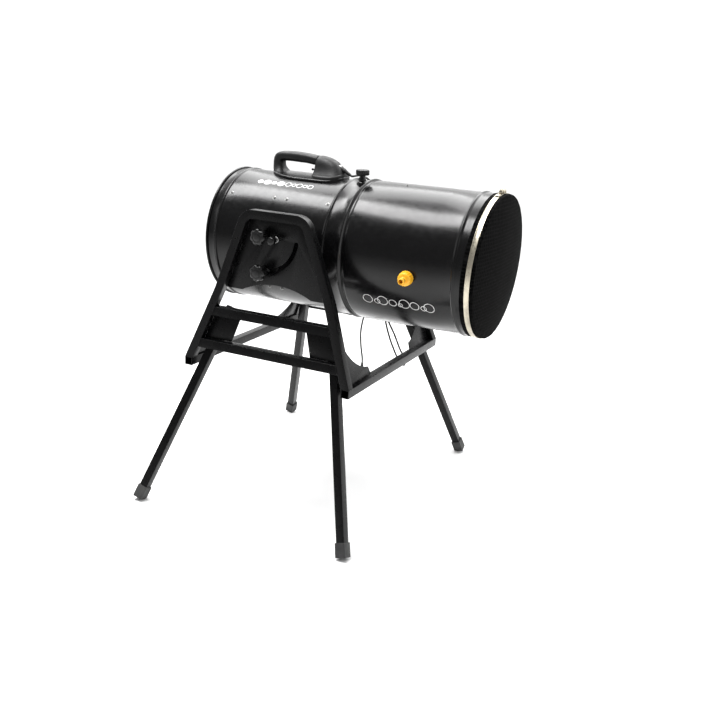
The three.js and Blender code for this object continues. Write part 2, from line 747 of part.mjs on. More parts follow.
function switchHousing() {
  const low = AXIS_Z + 170;
  const shape = new THREE.Shape();
  shape.moveTo(SEAM_X, low);
  shape.lineTo(SEAM_X, GRIP_TOP - 3);
  shape.bezierCurveTo(8, GRIP_TOP - 6, 30, GRIP_TOP - 12, 46, GRIP_TOP - 22);
  shape.bezierCurveTo(58, GRIP_TOP - 31, 66, GRIP_TOP - 48, 68, GRIP_TOP - 66);
  shape.lineTo(71, low);
  shape.closePath();
  const button = turned([
    [SEAM_X - 5, 0], [SEAM_X - 5, BUTTON_R + GAP], [SEAM_X + 22, BUTTON_R + GAP], [SEAM_X + 22, 0],
  ], 12);
  button.translate(0, 0, BUTTON_Z);
  return cut(
    slab(shape, -HOUSING_HALF, HOUSING_HALF, { bevel: 9, bevelSegments: 2, curveSegments: 6 }),
    saddleCutter(),
    button,
    cordGland(GAP),
  );
}

// Strain relief: tapers out of the housing's nose, pointing forwards and down.
const GLAND_PITCH = THREE.MathUtils.degToRad(-28);
function cordGland(more = 0) {
  const geometry = turned([
    [-12 - more, 0], [-12 - more, 6 + more], [6, 6 + more], [24 + more, 4.2 + more], [24 + more, 0],
  ], 12);
  geometry.rotateY(-GLAND_PITCH);
  geometry.translate(GLAND_X, 0, GLAND_Z);
  return geometry;
}

add('handle_saddle', saddle(), plastic());
add('handle_grip', grip(), plastic());
add('switch_housing', switchHousing(), plastic());
const buttonStem = turned([
  [SEAM_X - BUTTON_REACH, 0], [SEAM_X - BUTTON_REACH, 2.2], [SEAM_X + 1.4 - BUTTON_REACH, BUTTON_R],
  [SEAM_X + 14, BUTTON_R], [SEAM_X + 14, 0],
], 12);
buttonStem.translate(0, 0, BUTTON_Z);
add('switch_button', buttonStem, plastic());
add('cord_gland', cordGland(), rubber());

// Foam chamber: sleeve over the blower drum, wide barrel, open mouth

const SCREW_X = 148;
const SCREW_Y = -45;
const SCREW_BASE = AXIS_Z + Math.sqrt(SLEEVE_R ** 2 - SCREW_Y ** 2);
const SCREW_R = 4;
const FRONT_BEAD_X = 500;

const CONNECTOR_X = 371;
const CONNECTOR_ANGLE = 96;    // degrees from the top, towards the operator
const PIPE_R = 6;

// Places a piece turned about X, radially on the drum at the connector.
function onConnector(profile, sides) {
  const geometry = turned(profile, sides);
  geometry.rotateY(-Math.PI / 2);
  geometry.rotateX(THREE.MathUtils.degToRad(CONNECTOR_ANGLE));
  geometry.translate(CONNECTOR_X, 0, AXIS_Z);
  return geometry;
}

function foamChamber() {
  const wall = turnedOnDrum(drumWall([
    [SLEEVE_START, SLEEVE_R],
    ...bead(SLEEVE_START + 6, SLEEVE_R, 3.5, 5),
    ...bead(CHAMBER_START - 4, SLEEVE_R, 6.5, 6),
    [CHAMBER_START + 5, SLEEVE_R + 0.5],
    [CHAMBER_START + 14, CHAMBER_R],
    ...bead(FRONT_BEAD_X, CHAMBER_R, 3.5, 6),
    [MOUTH, CHAMBER_R],
  ], [
    [SLEEVE_START, SLEEVE_R - SHEET],
    [CHAMBER_START + 5, SLEEVE_R - SHEET],
    [CHAMBER_START + 14, CHAMBER_R - SHEET],
    [MOUTH, CHAMBER_R - SHEET],
  ]));
  const boss = cut(
    turnedUpright([
      [SCREW_BASE - 14, 0], [SCREW_BASE - 14, 15], [SCREW_BASE + 2, 15], [SCREW_BASE + 7, 10],
      [SCREW_BASE + 7, 0],
    ], SCREW_X, SCREW_Y),
    drumBar(SLEEVE_R - SHEET / 2, SCREW_X - 40, SCREW_X + 40),
  );
  const body = cut(
    join(wall, boss),
    turnedUpright([
      [SCREW_BASE - 30, 0], [SCREW_BASE - 30, SCREW_R + GAP], [SCREW_BASE + 30, SCREW_R + GAP],
      [SCREW_BASE + 30, 0],
    ], SCREW_X, SCREW_Y, 12),
    onConnector([[170, 0], [170, PIPE_R + 1], [230, PIPE_R + 1], [230, 0]], 12),
  );
  const at = body.getAttribute('position');
  for (let i = 0; i < at.count; i += 1) {
    if (at.getX(i) > MOUTH - 1) at.setX(i, at.getX(i) + MOUTH_LEAN * (at.getZ(i) - AXIS_Z));
  }
  return body;
}
add('foam_chamber', foamChamber(), glossPaint());

add('thumb_screw', turnedUpright([
  [SCREW_BASE - 0.5, 0], [SCREW_BASE - 0.5, SCREW_R], [SCREW_BASE + 8, SCREW_R],
  [SCREW_BASE + 8, 11.5], [SCREW_BASE + 13, 11], [SCREW_BASE + 23, 8.2], [SCREW_BASE + 24.5, 18],
  [SCREW_BASE + 26, 19.5], [SCREW_BASE + 39, 19.5], [SCREW_BASE + 41, 18], [SCREW_BASE + 42.5, 0],
], SCREW_X, SCREW_Y), plastic());

const COVER_IN = CHAMBER_R + 0.5;
const COVER_OUT = COVER_IN + 1;
const HEM_X = BAND_X - 21;

// Leans a piece at the mouth forwards, as the mouth's own plane does.
function leaned(geometry) {
  const copy = geometry.clone();
  copy.applyMatrix4(new THREE.Matrix4().makeShear(0, 0, 0, 0, MOUTH_LEAN, 0));
  copy.translate(-MOUTH_LEAN * AXIS_Z, 0, 0);
  return copy;
}

add('mesh_cover', leaned(turnedOnDrum([
  [MOUTH + COVER_BULGE + 1, 0], [MOUTH + COVER_BULGE - 0.5, 70], [MOUTH + COVER_BULGE - 5, 135],
  [MOUTH + 6, 182], [MOUTH + 2.5, 199], [MOUTH + 1, COVER_OUT], [HEM_X, COVER_OUT],
  [HEM_X, COVER_IN], [MOUTH + GAP, COVER_IN], [MOUTH + 1.3, 198.6], [MOUTH + 5, 181.6],
  [MOUTH + COVER_BULGE - 6, 134.8], [MOUTH + COVER_BULGE - 1.5, 69.9], [MOUTH + COVER_BULGE, 0],
])), fabric());

const BAND_IN = COVER_OUT + GAP;
const BAND_OUT = BAND_IN + 1.5;
const WORM_Z = AXIS_Z + BAND_OUT + 6;
const WORM_R = 3.6;
const WORM_X = BAND_X + MOUTH_LEAN * (WORM_Z - AXIS_Z);

function hoseClamp() {
  const low = BAND_X - BAND_WIDTH / 2;
  const high = BAND_X + BAND_WIDTH / 2;
  const band = turnedOnDrum([
    [low, BAND_IN], [low, BAND_OUT], [high, BAND_OUT], [high, BAND_IN], [low, BAND_IN],
  ]);
  const housing = block([low + 1, -12, AXIS_Z + BAND_IN + 0.4], [high - 1, 12, WORM_Z + WORM_R + 2.2]);
  const bore = turnedOutwards([
    [-30, 0], [-30, WORM_R + GAP], [30, WORM_R + GAP], [30, 0],
  ], BAND_X, WORM_Z, 12);
  return cut(join(band, housing), bore);
}
add('hose_clamp', leaned(hoseClamp()), zinc());

add('clamp_worm_screw', turnedOutwards([
  [-11, 0], [-11, WORM_R], [12.4, WORM_R], [12.4, 5.4], [18, 5.4], [18, 0],
], WORM_X, WORM_Z, 12), zinc());

// Water inlet: a ribbed tap nipple outside, a feed pipe and a spray nozzle inside

function hoseConnector() {
  const seat = CHAMBER_R + GAP;
  return cut(
    onConnector([
      [seat, 0], [seat, 20], [seat + 3, 20.5], [seat + 20, 19.5], [seat + 24, 16], [seat + 25, 9.5],
      [seat + 31, 9.5], [seat + 32, 8], [seat + 35, 8], [seat + 36, 9.5], [seat + 42, 8.8], [seat + 42, 0],
    ], 20),
    onConnector([[seat - 5, 0], [seat - 5, 5.5], [seat + 50, 5.5], [seat + 50, 0]], 12),
    drumBar(CHAMBER_R + GAP, CONNECTOR_X - 40, CONNECTOR_X + 40),
  );
}
add('hose_connector', hoseConnector(), orange());

const NOZZLE_X = 440;

function feedPipe() {
  const angle = THREE.MathUtils.degToRad(CONNECTOR_ANGLE);
  const outwards = new THREE.Vector3(0, -Math.sin(angle), Math.cos(angle));
  const at = (radius) => new THREE.Vector3(CONNECTOR_X, 0, AXIS_Z).addScaledVector(outwards, radius);
  const bend = 30;
  const path = new THREE.CurvePath();
  path.add(new THREE.LineCurve3(at(CHAMBER_R - 0.5), at(bend)));
  path.add(new THREE.QuadraticBezierCurve3(
    at(bend), at(0), new THREE.Vector3(CONNECTOR_X + bend, 0, AXIS_Z),
  ));
  path.add(new THREE.LineCurve3(
    new THREE.Vector3(CONNECTOR_X + bend, 0, AXIS_Z), new THREE.Vector3(NOZZLE_X, 0, AXIS_Z),
  ));
  const ring = new THREE.Shape();
  ring.absarc(0, 0, PIPE_R, 0, 2 * Math.PI, false);
  const bore = new THREE.Path();
  bore.absarc(0, 0, PIPE_R - 1.5, 0, 2 * Math.PI, true);
  ring.holes.push(bore);
  return new THREE.ExtrudeGeometry(ring, { steps: 14, extrudePath: path, curveSegments: 4 });
}
add('feed_pipe', feedPipe(), steel());

add('spray_nozzle', turnedOnDrum([
  [NOZZLE_X + GAP, 0], [NOZZLE_X + GAP, 14], [NOZZLE_X + 12, 14], [NOZZLE_X + 30, 30],
  [NOZZLE_X + 36, 30], [NOZZLE_X + 36, 0],
]), plastic());

// Mains lead: over the far side of the drum, down into one loose loop, over the hook on the far
// frame, then its end with the plug hangs free

const CORD_R = 3;
const HOOK_X = 84;
const HOOK_Z = 575;
const HOOK_R = 18.8;
const HOOK_IN = 241;        // inner end of the hook's arm, from the middle plane
const PLUG_AT = new THREE.Vector3(39, 250, 318);

const LEAD_ROUTE = [
  [GLAND_X + 21.7, 0, GLAND_Z - 11.5],
  [GLAND_X + 27, 0.3, GLAND_Z - 14],
  [99, 7, 966.4],
  [104, 24, 967],
  [106, 50, 961.5],
  [107, 80, 951.5],
  [108, 134, 918],
  [108, 180, 864],
  [108, 202, 814],
  [108, 210, 760],
  [107, 222, 700],
  [104, 230, 640],
  [104, 231, 596],
  [109, 229, 545],
  [124, 227, 490],
  [145, 226, 430],
  [172, 226, 376],
  [182, 227, 360],
  [190, 234, 346],
  [193, 250, 339],
  [190, 266, 346],
  [182, 273, 360],
  [168, 274, 376],
  [140, 274, 430],
  [112, 271, 482],
  [105, 263, 530],
  [107, 256, 556],
  [HOOK_X + 24, 253, HOOK_Z],
  [HOOK_X + 17, 253, HOOK_Z + 17],
  [HOOK_X, 253, HOOK_Z + 24],
  [HOOK_X - 17, 253, HOOK_Z + 17],
  [HOOK_X - 24, 253, HOOK_Z],
  [52, 252, 540],
  [38, 250, 488],
  [28, 250, 430],
  [31, 250, 378],
  [38, 250, 338],
  [39, 250, 324],
  [39, 250, 318.3],
];

function mainsLead() {
  const curve = new THREE.CatmullRomCurve3(LEAD_ROUTE.map((point) => new THREE.Vector3(...point)));
  const section = new THREE.Shape();
  section.absarc(0, 0, CORD_R, 0, 2 * Math.PI, false);
  return new THREE.ExtrudeGeometry(section, { steps: 80, extrudePath: curve, curveSegments: 4 });
}
add('mains_lead', mainsLead(), rubber(), cordSet);

// A moulded plug with its strain relief, blades pointing down.
function plug() {
  const relief = turnedUpright([
    [-26, 0], [-26, 6.5], [-5, 4.2], [0, 4], [0, 0],
  ], 0, 0, 12);
  const outline = new THREE.Shape();
  outline.moveTo(-7, 3);
  outline.lineTo(-14, -6);
  outline.lineTo(-15, -30);
  outline.lineTo(15, -30);
  outline.lineTo(14, -6);
  outline.lineTo(7, 3);
  outline.closePath();
  const grip = slab(outline, -12, 12, { bevel: 4, bevelSegments: 2 });
  grip.translate(0, 0, -24);
  const pins = [
    block([-7.1, -3.2, -71], [-5.6, 3.2, -50]),
    block([5.6, -3.2, -71], [7.1, 3.2, -50]),
    turnedUpright([[-74, 0], [-74, 1.4], [-72.5, 2.4], [-50, 2.4], [-50, 0]], 0, -8, 8),
  ];
  const whole = join(relief, grip, ...pins);
  whole.translate(...PLUG_AT.toArray());
  return whole;
}
add('mains_plug', plug(), rubber(), cordSet);

// Hook: a round arm on the crossbar's inner face, with a lip.
function cordHook() {
  const wall = -backAt(UPPER_BAR_TOP);
  const arm = turnedOutwards([
    [wall - GAP, 0], [wall - GAP, HOOK_R], [HOOK_IN + 3.5, HOOK_R], [HOOK_IN + 3, HOOK_R + 5],
    [HOOK_IN, HOOK_R + 5], [HOOK_IN, 0],
  ], HOOK_X, HOOK_Z);
  return mirrorY(arm);
}
add('cord_hook', cordHook(), plastic());

foamMachine.add(cordSet);
const footprint = new THREE.Box3();
for (const piece of foamMachine.children) {
  if (piece !== cordSet) footprint.expandByObject(piece);
}
const middle = footprint.getCenter(new THREE.Vector3());
foamMachine.position.set(-middle.x, 0, 0);
foamMachine.updateMatrixWorld(true);

export default foamMachine;
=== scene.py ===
import json
import math

import bmesh
import bpy
from mathutils import Matrix, Vector, noise

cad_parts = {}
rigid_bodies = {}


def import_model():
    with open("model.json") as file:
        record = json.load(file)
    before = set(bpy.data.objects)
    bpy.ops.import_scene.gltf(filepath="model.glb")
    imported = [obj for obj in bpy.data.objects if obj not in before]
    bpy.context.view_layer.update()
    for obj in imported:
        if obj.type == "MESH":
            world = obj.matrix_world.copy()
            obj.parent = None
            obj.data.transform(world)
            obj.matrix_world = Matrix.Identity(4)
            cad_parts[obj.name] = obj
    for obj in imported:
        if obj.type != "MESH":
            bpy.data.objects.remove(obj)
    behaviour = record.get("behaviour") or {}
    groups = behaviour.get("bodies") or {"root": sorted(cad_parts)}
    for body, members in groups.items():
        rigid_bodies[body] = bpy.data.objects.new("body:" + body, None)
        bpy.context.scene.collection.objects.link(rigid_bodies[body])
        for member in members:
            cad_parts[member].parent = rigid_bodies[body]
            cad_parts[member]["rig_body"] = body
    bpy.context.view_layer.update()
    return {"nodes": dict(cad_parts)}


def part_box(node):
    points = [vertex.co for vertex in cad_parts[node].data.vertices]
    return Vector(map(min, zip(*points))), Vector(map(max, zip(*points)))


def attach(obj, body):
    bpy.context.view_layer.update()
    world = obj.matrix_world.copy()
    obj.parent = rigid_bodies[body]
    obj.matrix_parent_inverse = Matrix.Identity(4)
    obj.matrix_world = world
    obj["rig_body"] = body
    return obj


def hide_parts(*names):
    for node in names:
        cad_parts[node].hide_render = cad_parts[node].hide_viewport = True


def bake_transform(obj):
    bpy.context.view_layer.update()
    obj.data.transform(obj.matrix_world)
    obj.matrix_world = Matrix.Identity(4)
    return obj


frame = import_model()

NODES = frame["nodes"]
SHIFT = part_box("blower_drum")[0].x * 1000 + 285     # the stand's middle in the row frame, mm
AXIS_Z = 760.0


def P(x, y, z):
    """A point given in mm from the stand's middle, in the row frame in metres."""
    return Vector(((x + SHIFT) / 1000, y / 1000, z / 1000))


# ---------------------------------------------------------------- camera

AZ, EL, ROLL, DIST = math.radians(25.5), math.radians(17.5), math.radians(3.1), 2865.0
back = Vector((math.sin(AZ) * math.cos(EL), -math.cos(AZ) * math.cos(EL), math.sin(EL)))
target = Vector((149.8, 0, 413.6))
eye = target + back * DIST
right = Vector((math.cos(AZ), math.sin(AZ), 0))
up = back.cross(right)
rolled_right = right * math.cos(ROLL) + up * math.sin(ROLL)
rolled_up = up * math.cos(ROLL) - right * math.sin(ROLL)
cam_data = bpy.data.cameras.new("camera")
cam = bpy.data.objects.new("camera", cam_data)
bpy.context.scene.collection.objects.link(cam)
turn = Matrix((rolled_right, rolled_up, back)).transposed().to_4x4()
turn.translation = P(*eye)
cam.matrix_world = turn
cam_data.lens = 46.7
cam_data.sensor_width = 36
bpy.context.scene.camera = cam


# ---------------------------------------------------------------- shader helpers

def new_material(name):
    mat = bpy.data.materials.new(name)
    mat.use_nodes = True
    tree = mat.node_tree
    tree.nodes.clear()
    out = tree.nodes.new("ShaderNodeOutputMaterial")
    bsdf = tree.nodes.new("ShaderNodeBsdfPrincipled")
    tree.links.new(bsdf.outputs["BSDF"], out.inputs["Surface"])
    return mat, tree, bsdf


def set_inputs(node, values):
    for name, value in values.items():
        node.inputs[name].default_value = value


def noise_node(tree, scale, detail=3.0, rough=0.5, distort=0.0):
    coord = tree.nodes.new("ShaderNodeTexCoord")
    tex = tree.nodes.new("ShaderNodeTexNoise")
    set_inputs(tex, {"Scale": scale, "Detail": detail, "Roughness": rough, "Distortion": distort})
    tree.links.new(coord.outputs["Object"], tex.inputs["Vector"])
    return tex.outputs["Fac"]


def spread(tree, value, low, high, start=0.3, end=0.7):
    """The value between start and end, mapped to between low and high."""
    node = tree.nodes.new("ShaderNodeMapRange")
    set_inputs(node, {"From Min": start, "From Max": end, "To Min": low, "To Max": high})
    tree.links.new(value, node.inputs["Value"])
    return node.outputs["Result"]


def colour_between(tree, value, a, b, start=0.3, end=0.7):
    ramp = tree.nodes.new("ShaderNodeValToRGB")
    ramp.color_ramp.elements[0].position = start
    ramp.color_ramp.elements[1].position = end
    ramp.color_ramp.elements[0].color = (*a, 1)
    ramp.color_ramp.elements[1].color = (*b, 1)
    tree.links.new(value, ramp.inputs["Fac"])
    return ramp.outputs["Color"]


def bump(tree, bsdf, *layers):
    """Each layer is (height, distance in metres, strength)."""
    normal = None
    for height, distance, strength in layers:
        node = tree.nodes.new("ShaderNodeBump")
        set_inputs(node, {"Distance": distance, "Strength": strength})
        tree.links.new(height, node.inputs["Height"])
        if normal is not None:
            tree.links.new(normal, node.inputs["Normal"])
        normal = node.outputs["Normal"]
    tree.links.new(normal, bsdf.inputs["Normal"])


def paint(name, base, dusty, rough, coat, peel=(420, 0.0002, 0.12), wave=None, spec=0.5):
    """Sprayed or powder-coated paint: slight orange peel, handling marks in the gloss, faint dust."""
    mat, tree, bsdf = new_material(name)
    smudge = noise_node(tree, 9, 5, rough=0.6, distort=0.4)
    fine = noise_node(tree, 60, 4)
    tree.links.new(colour_between(tree, smudge, base, dusty, 0.42, 0.75), bsdf.inputs["Base Color"])
    tree.links.new(spread(tree, fine, rough[0], rough[1]), bsdf.inputs["Roughness"])
    set_inputs(bsdf, {"Specular IOR Level": spec, "Coat Weight": coat, "Coat Roughness": 0.12})
    layers = [wave, peel] if wave else [peel]
    bump(tree, bsdf, *[(noise_node(tree, scale, 2), deep, strength) for scale, deep, strength in layers])
    return mat


def plastic(name, base, light, rough, grain=(1400, 0.00008, 0.25), spec=0.45):
    mat, tree, bsdf = new_material(name)
    blotch = noise_node(tree, 25, 4)
    tree.links.new(colour_between(tree, blotch, base, light), bsdf.inputs["Base Color"])
    tree.links.new(spread(tree, noise_node(tree, 90, 3), rough[0], rough[1]), bsdf.inputs["Roughness"])
    bsdf.inputs["Specular IOR Level"].default_value = spec
    bump(tree, bsdf, (noise_node(tree, grain[0], 2), grain[1], grain[2]))
    return mat


def metal(name, base, stained, rough, scale=300):
    mat, tree, bsdf = new_material(name)
    stain = noise_node(tree, 40, 5, rough=0.65)
    tree.links.new(colour_between(tree, stain, base, stained), bsdf.inputs["Base Color"])
    lines = noise_node(tree, scale, 3)
    tree.links.new(spread(tree, lines, rough[0], rough[1]), bsdf.inputs["Roughness"])
    bsdf.inputs["Metallic"].default_value = 1.0
    bump(tree, bsdf, (lines, 0.00005, 0.25))
    return mat


def maths(tree, operation, a, b):
    """One of the shader's arithmetic nodes."""
    node = tree.nodes.new("ShaderNodeMath")
    node.operation = operation
    tree.links.new(a, node.inputs[0])
    tree.links.new(b, node.inputs[1])
    return node.outputs[0]


THREAD_PITCH = 0.0016     # in metres


def woven(name):
    """Fine black woven mesh: crossed threads in relief, with painted highlights on the threads and painted
    shade between them.
    """
    mat, tree, bsdf = new_material(name)
    coord = tree.nodes.new("ShaderNodeTexCoord")
    threads = []
    for axis in ("Y", "Z"):
        wave = tree.nodes.new("ShaderNodeTexWave")
        wave.bands_direction = axis
        wave.wave_profile = "SIN"
        wave.inputs["Scale"].default_value = 1 / THREAD_PITCH / 20
        tree.links.new(coord.outputs["Object"], wave.inputs["Vector"])
        threads.append(wave.outputs["Fac"])
    weave = maths(tree, "MAXIMUM", *threads)
    mottle = noise_node(tree, 130, 4, rough=0.7)
    # the weave lightens the threads and darkens the gaps in the colour, painted highlight and painted shade;
    # the mottle is random tone
    thread_light_and_mottle = maths(tree, "MULTIPLY", weave, spread(tree, mottle, 0.55, 1.0, 0.35, 0.65))
    colour = colour_between(tree, thread_light_and_mottle, (0.0004,) * 3, (0.0075,) * 3, 0.35, 1.0)
    tree.links.new(colour, bsdf.inputs["Base Color"])
    set_inputs(bsdf, {"Roughness": 0.9, "Specular IOR Level": 0.03})
    bump(tree, bsdf, (weave, 0.0004, 0.6), (mottle, 0.0006, 0.25))
    return mat


M = {}
M["mesh"] = woven("woven_mesh")
M["drum"] = paint("drum_enamel", (0.0018, 0.0018, 0.0020), (0.0030, 0.0030, 0.0033), (0.18, 0.26), 0.0,
                  peel=(240, 0.00012, 0.12), wave=(5.0, 0.004, 0.10), spec=0.32)
M["inside"] = paint("drum_inside", (0.006, 0.006, 0.006), (0.016, 0.016, 0.016), (0.4, 0.6), 0.0)
M["frame"] = paint("frame_powder_coat", (0.0022, 0.0022, 0.0024), (0.0040, 0.0040, 0.0043), (0.25, 0.34), 0.0,
                   peel=(700, 0.00018, 0.28), spec=0.17)
M["plastic"] = plastic("moulded_plastic", (0.0045, 0.0045, 0.0047), (0.0075, 0.0075, 0.0078), (0.40, 0.56),
                       spec=0.28)
M["gloss_plastic"] = plastic("knob_plastic", (0.0035, 0.0035, 0.0036), (0.0055, 0.0055, 0.0058), (0.24, 0.38),
                             grain=(900, 0.00004, 0.12), spec=0.35)
M["dark_plastic"] = plastic("inner_plastic", (0.012, 0.012, 0.013), (0.02, 0.02, 0.021), (0.4, 0.6))
M["rubber"] = plastic("foot_rubber", (0.028, 0.028, 0.029), (0.060, 0.060, 0.059), (0.62, 0.82),
                      grain=(500, 0.0002, 0.4), spec=0.3)
M["cord"] = plastic("cord_sheath", (0.009, 0.009, 0.009), (0.013, 0.013, 0.013), (0.42, 0.55),
                    grain=(800, 0.00005, 0.2), spec=0.4)
M["zinc"] = metal("zinc_strip", (0.63, 0.58, 0.46), (0.47, 0.43, 0.35), (0.24, 0.42), 160)
M["steel"] = metal("plated_steel", (0.62, 0.62, 0.61), (0.5, 0.5, 0.5), (0.16, 0.32))
M["screw"] = metal("screw_zinc", (0.26, 0.26, 0.25), (0.18, 0.18, 0.18), (0.30, 0.46))
M["casting"] = metal("motor_casting", (0.25, 0.26, 0.27), (0.17, 0.17, 0.18), (0.45, 0.65), scale=200)
M["orange"] = plastic("inlet_plastic", (0.90, 0.42, 0.010), (0.95, 0.50, 0.02), (0.34, 0.5), spec=0.5)
M["print"] = plastic("white_print", (0.78, 0.78, 0.77), (0.84, 0.84, 0.83), (0.4, 0.55))
# near-black colour laid on thin sheets where holes, slots and recesses are: painted shade
M["recess"] = plastic("painted_hole_shade", (0.02, 0.02, 0.02), (0.03, 0.03, 0.03), (0.5, 0.7))
M["guard"] = paint("guard_coating", (0.008, 0.008, 0.008), (0.014, 0.014, 0.014), (0.3, 0.45), 0.2)


# ---------------------------------------------------------------- mesh helpers


def piece(name, bm, material, body, replaces=(), sharp=38, bevel=None):
    """A finished piece from a bmesh in mm around the stand's middle."""
    bmesh.ops.remove_doubles(bm, verts=bm.verts, dist=0.002)
    bmesh.ops.recalc_face_normals(bm, faces=bm.faces)
    if bevel:
        width, segments, angle = bevel
        edges = [e for e in bm.edges if len(e.link_faces) == 2 and e.calc_face_angle(0) > math.radians(angle)]
        bmesh.ops.bevel(bm, geom=edges, offset=width, segments=segments, profile=0.6, affect="EDGES",
                        clamp_overlap=True)
        bmesh.ops.remove_doubles(bm, verts=bm.verts, dist=0.002)
    for v in bm.verts:
        v.co = P(*v.co)
    limit = math.radians(sharp)
    for f in bm.faces:
        f.smooth = True
    for e in bm.edges:
        e.smooth = len(e.link_faces) == 2 and e.calc_face_angle(0) < limit
    data = bpy.data.meshes.new(name)
    bm.to_mesh(data)
    bm.free()
    obj = bpy.data.objects.new(name, data)
    bpy.context.scene.collection.objects.link(obj)
    for key in [material] if isinstance(material, str) else material:
        data.materials.append(M[key])
    if body:
        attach(obj, body)
    if replaces:
        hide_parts(*replaces)
    return obj


def refined(node, material, bevel=(1.0, 2, 32), sharp=34):
    """The CAD node's own shape with its flat faces made whole and its edges rounded."""
    source = NODES[node]
    bm = bmesh.new()
    bm.from_mesh(source.data)
    for v in bm.verts:
        v.co = Vector((v.co.x * 1000 - SHIFT, v.co.y * 1000, v.co.z * 1000))
    bmesh.ops.remove_doubles(bm, verts=bm.verts, dist=0.01)
    bmesh.ops.dissolve_limit(bm, angle_limit=math.radians(1.2), verts=bm.verts, edges=bm.edges)
    body = source["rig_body"]
    return piece(node + "_body", bm, material, body, [node], sharp, bevel)


def turns(count):
    """The angles of a full turn, in equal steps."""
    return [2 * math.pi * k / count for k in range(count)]


def squared(t, along, across):
    """Cosine and sine of t, each to a power; powers below one square the circle up."""
    c, s = math.cos(t), math.sin(t)
    return math.copysign(abs(c) ** along, c), math.copysign(abs(s) ** across, s)


def on_circle(place, along, radius, t):
    return place @ Vector((along, radius * math.sin(t), radius * math.cos(t)))


def lathe(bm, profile, place, sides=96, material=0):
    """A [along, radius] profile turned about the local X axis, then placed. Radius 0 closes an end."""
    rings = []
    for along, radius in profile:
        angles = turns(sides) if radius > 1e-6 else [0.0]
        rings.append([bm.verts.new(on_circle(place, along, radius, t)) for t in angles])
    for a, b in zip(rings, rings[1:]):
        for i in range(sides):
            j = (i + 1) % sides
            if len(a) == 1 and len(b) == 1:
                continue
            if len(a) == 1:
                corners = (a[0], b[i], b[j])
            elif len(b) == 1:
                corners = (a[i], b[0], a[j])
            else:
                corners = (a[i], b[i], b[j], a[j])
            bm.faces.new(corners).material_index = material


def loft(bm, rings, cap_start=True, cap_end=True, material=0):
    """Faces between rings of the same count, each ring closed."""
    loops = [[bm.verts.new(p) for p in ring] for ring in rings]
    n = len(loops[0])
    for a, b in zip(loops, loops[1:]):
        for k in range(n):
            f = bm.faces.new((a[k], a[(k + 1) % n], b[(k + 1) % n], b[k]))
            f.material_index = material
    for wanted, ring in ((cap_start, loops[0]), (cap_end, loops[-1])):
        if wanted:
            bm.faces.new(ring).material_index = material
    return loops


def flutes(count, power):
    """A wave for lobed(): count ridges round a turn, sharper for a higher power."""
    return lambda t: (0.5 + 0.5 * math.cos(count * t)) ** power


def lobed(bm, place, stations, sides, wave):
    """An open turned wall through (along, radius, depth), drawn in by depth times wave(angle)."""
    rings = []
    for along, radius, depth in stations:
        rings.append([on_circle(place, along, radius - depth * wave(t), t) for t in turns(sides)])
    loft(bm, rings, cap_start=False, cap_end=False)


ON_DRUM = Matrix.Translation((0, 0, AXIS_Z))


def drum_point(x, a, radius):
    """The point at x on a drum of that radius, a radians from its top towards the operator."""
    return Vector((x, -radius * math.sin(a), AXIS_Z + radius * math.cos(a)))


def placement(out, side, at):
    """Placement at a point whose local X is out and local Y is side."""
    m = Matrix((out, side, out.cross(side))).transposed().to_4x4()
    m.translation = Vector(at)
    return m


def around(angle, x=0.0, radius=0.0):
    """Placement whose local X points out of the drum, angle degrees from its top towards the operator."""
    a = math.radians(angle)
    out = Vector((0, -math.sin(a), math.cos(a)))
    return placement(out, Vector((1, 0, 0)), Vector((x, 0, AXIS_Z)) + out * radius)


def outwards(x, z, far=False):
    """Placement whose local X points to the operator's side (or away from it), local Z up."""
    s = 1 if far else -1
    return placement(Vector((0, s, 0)), Vector((-s, 0, 0)), (x, 0, z))


def upright(x, y, z):
    """Placement whose local X points up."""
    return placement(Vector((0, 0, 1)), Vector((1, 0, 0)), (x, y, z))


def turned_about(degrees, place=ON_DRUM):
    """The placement turned about its own X axis."""
    return place @ Matrix.Rotation(math.radians(degrees), 4, "X")


def arc(cx, cr, radius, start, end, steps):
    """Points of a small arc in a profile plane, angles in degrees from the along direction."""
    points = []
    for i in range(steps + 1):
        t = math.radians(start + (end - start) * i / steps)
        points.append((cx + radius * math.cos(t), cr + radius * math.sin(t)))
    return points


def tube(bm, points, radius, sides=12, closed=False, radii=None):
    """A round tube along points, with a frame carried along so that it doesn't twist."""
    points = [Vector(p) for p in points]
    count = len(points)
    normal = None
    rings = []
    for i, p in enumerate(points):
        before = points[i - 1] if i or closed else points[i]
        after = points[(i + 1) % count] if i < count - 1 or closed else points[i]
        way = (after - before).normalized()
        if normal is None:
            normal = way.orthogonal().normalized()
        normal = (normal - way * normal.dot(way)).normalized()
        other = way.cross(normal)
        r = radii[i] if radii else radius
        rings.append([p + normal * (r * math.cos(t)) + other * (r * math.sin(t)) for t in turns(sides)])
    loops = loft(bm, rings, cap_start=not closed, cap_end=not closed)
    if closed:
        for k in range(sides):
            j = (k + 1) % sides
            bm.faces.new((loops[-1][k], loops[-1][j], loops[0][j], loops[0][k]))


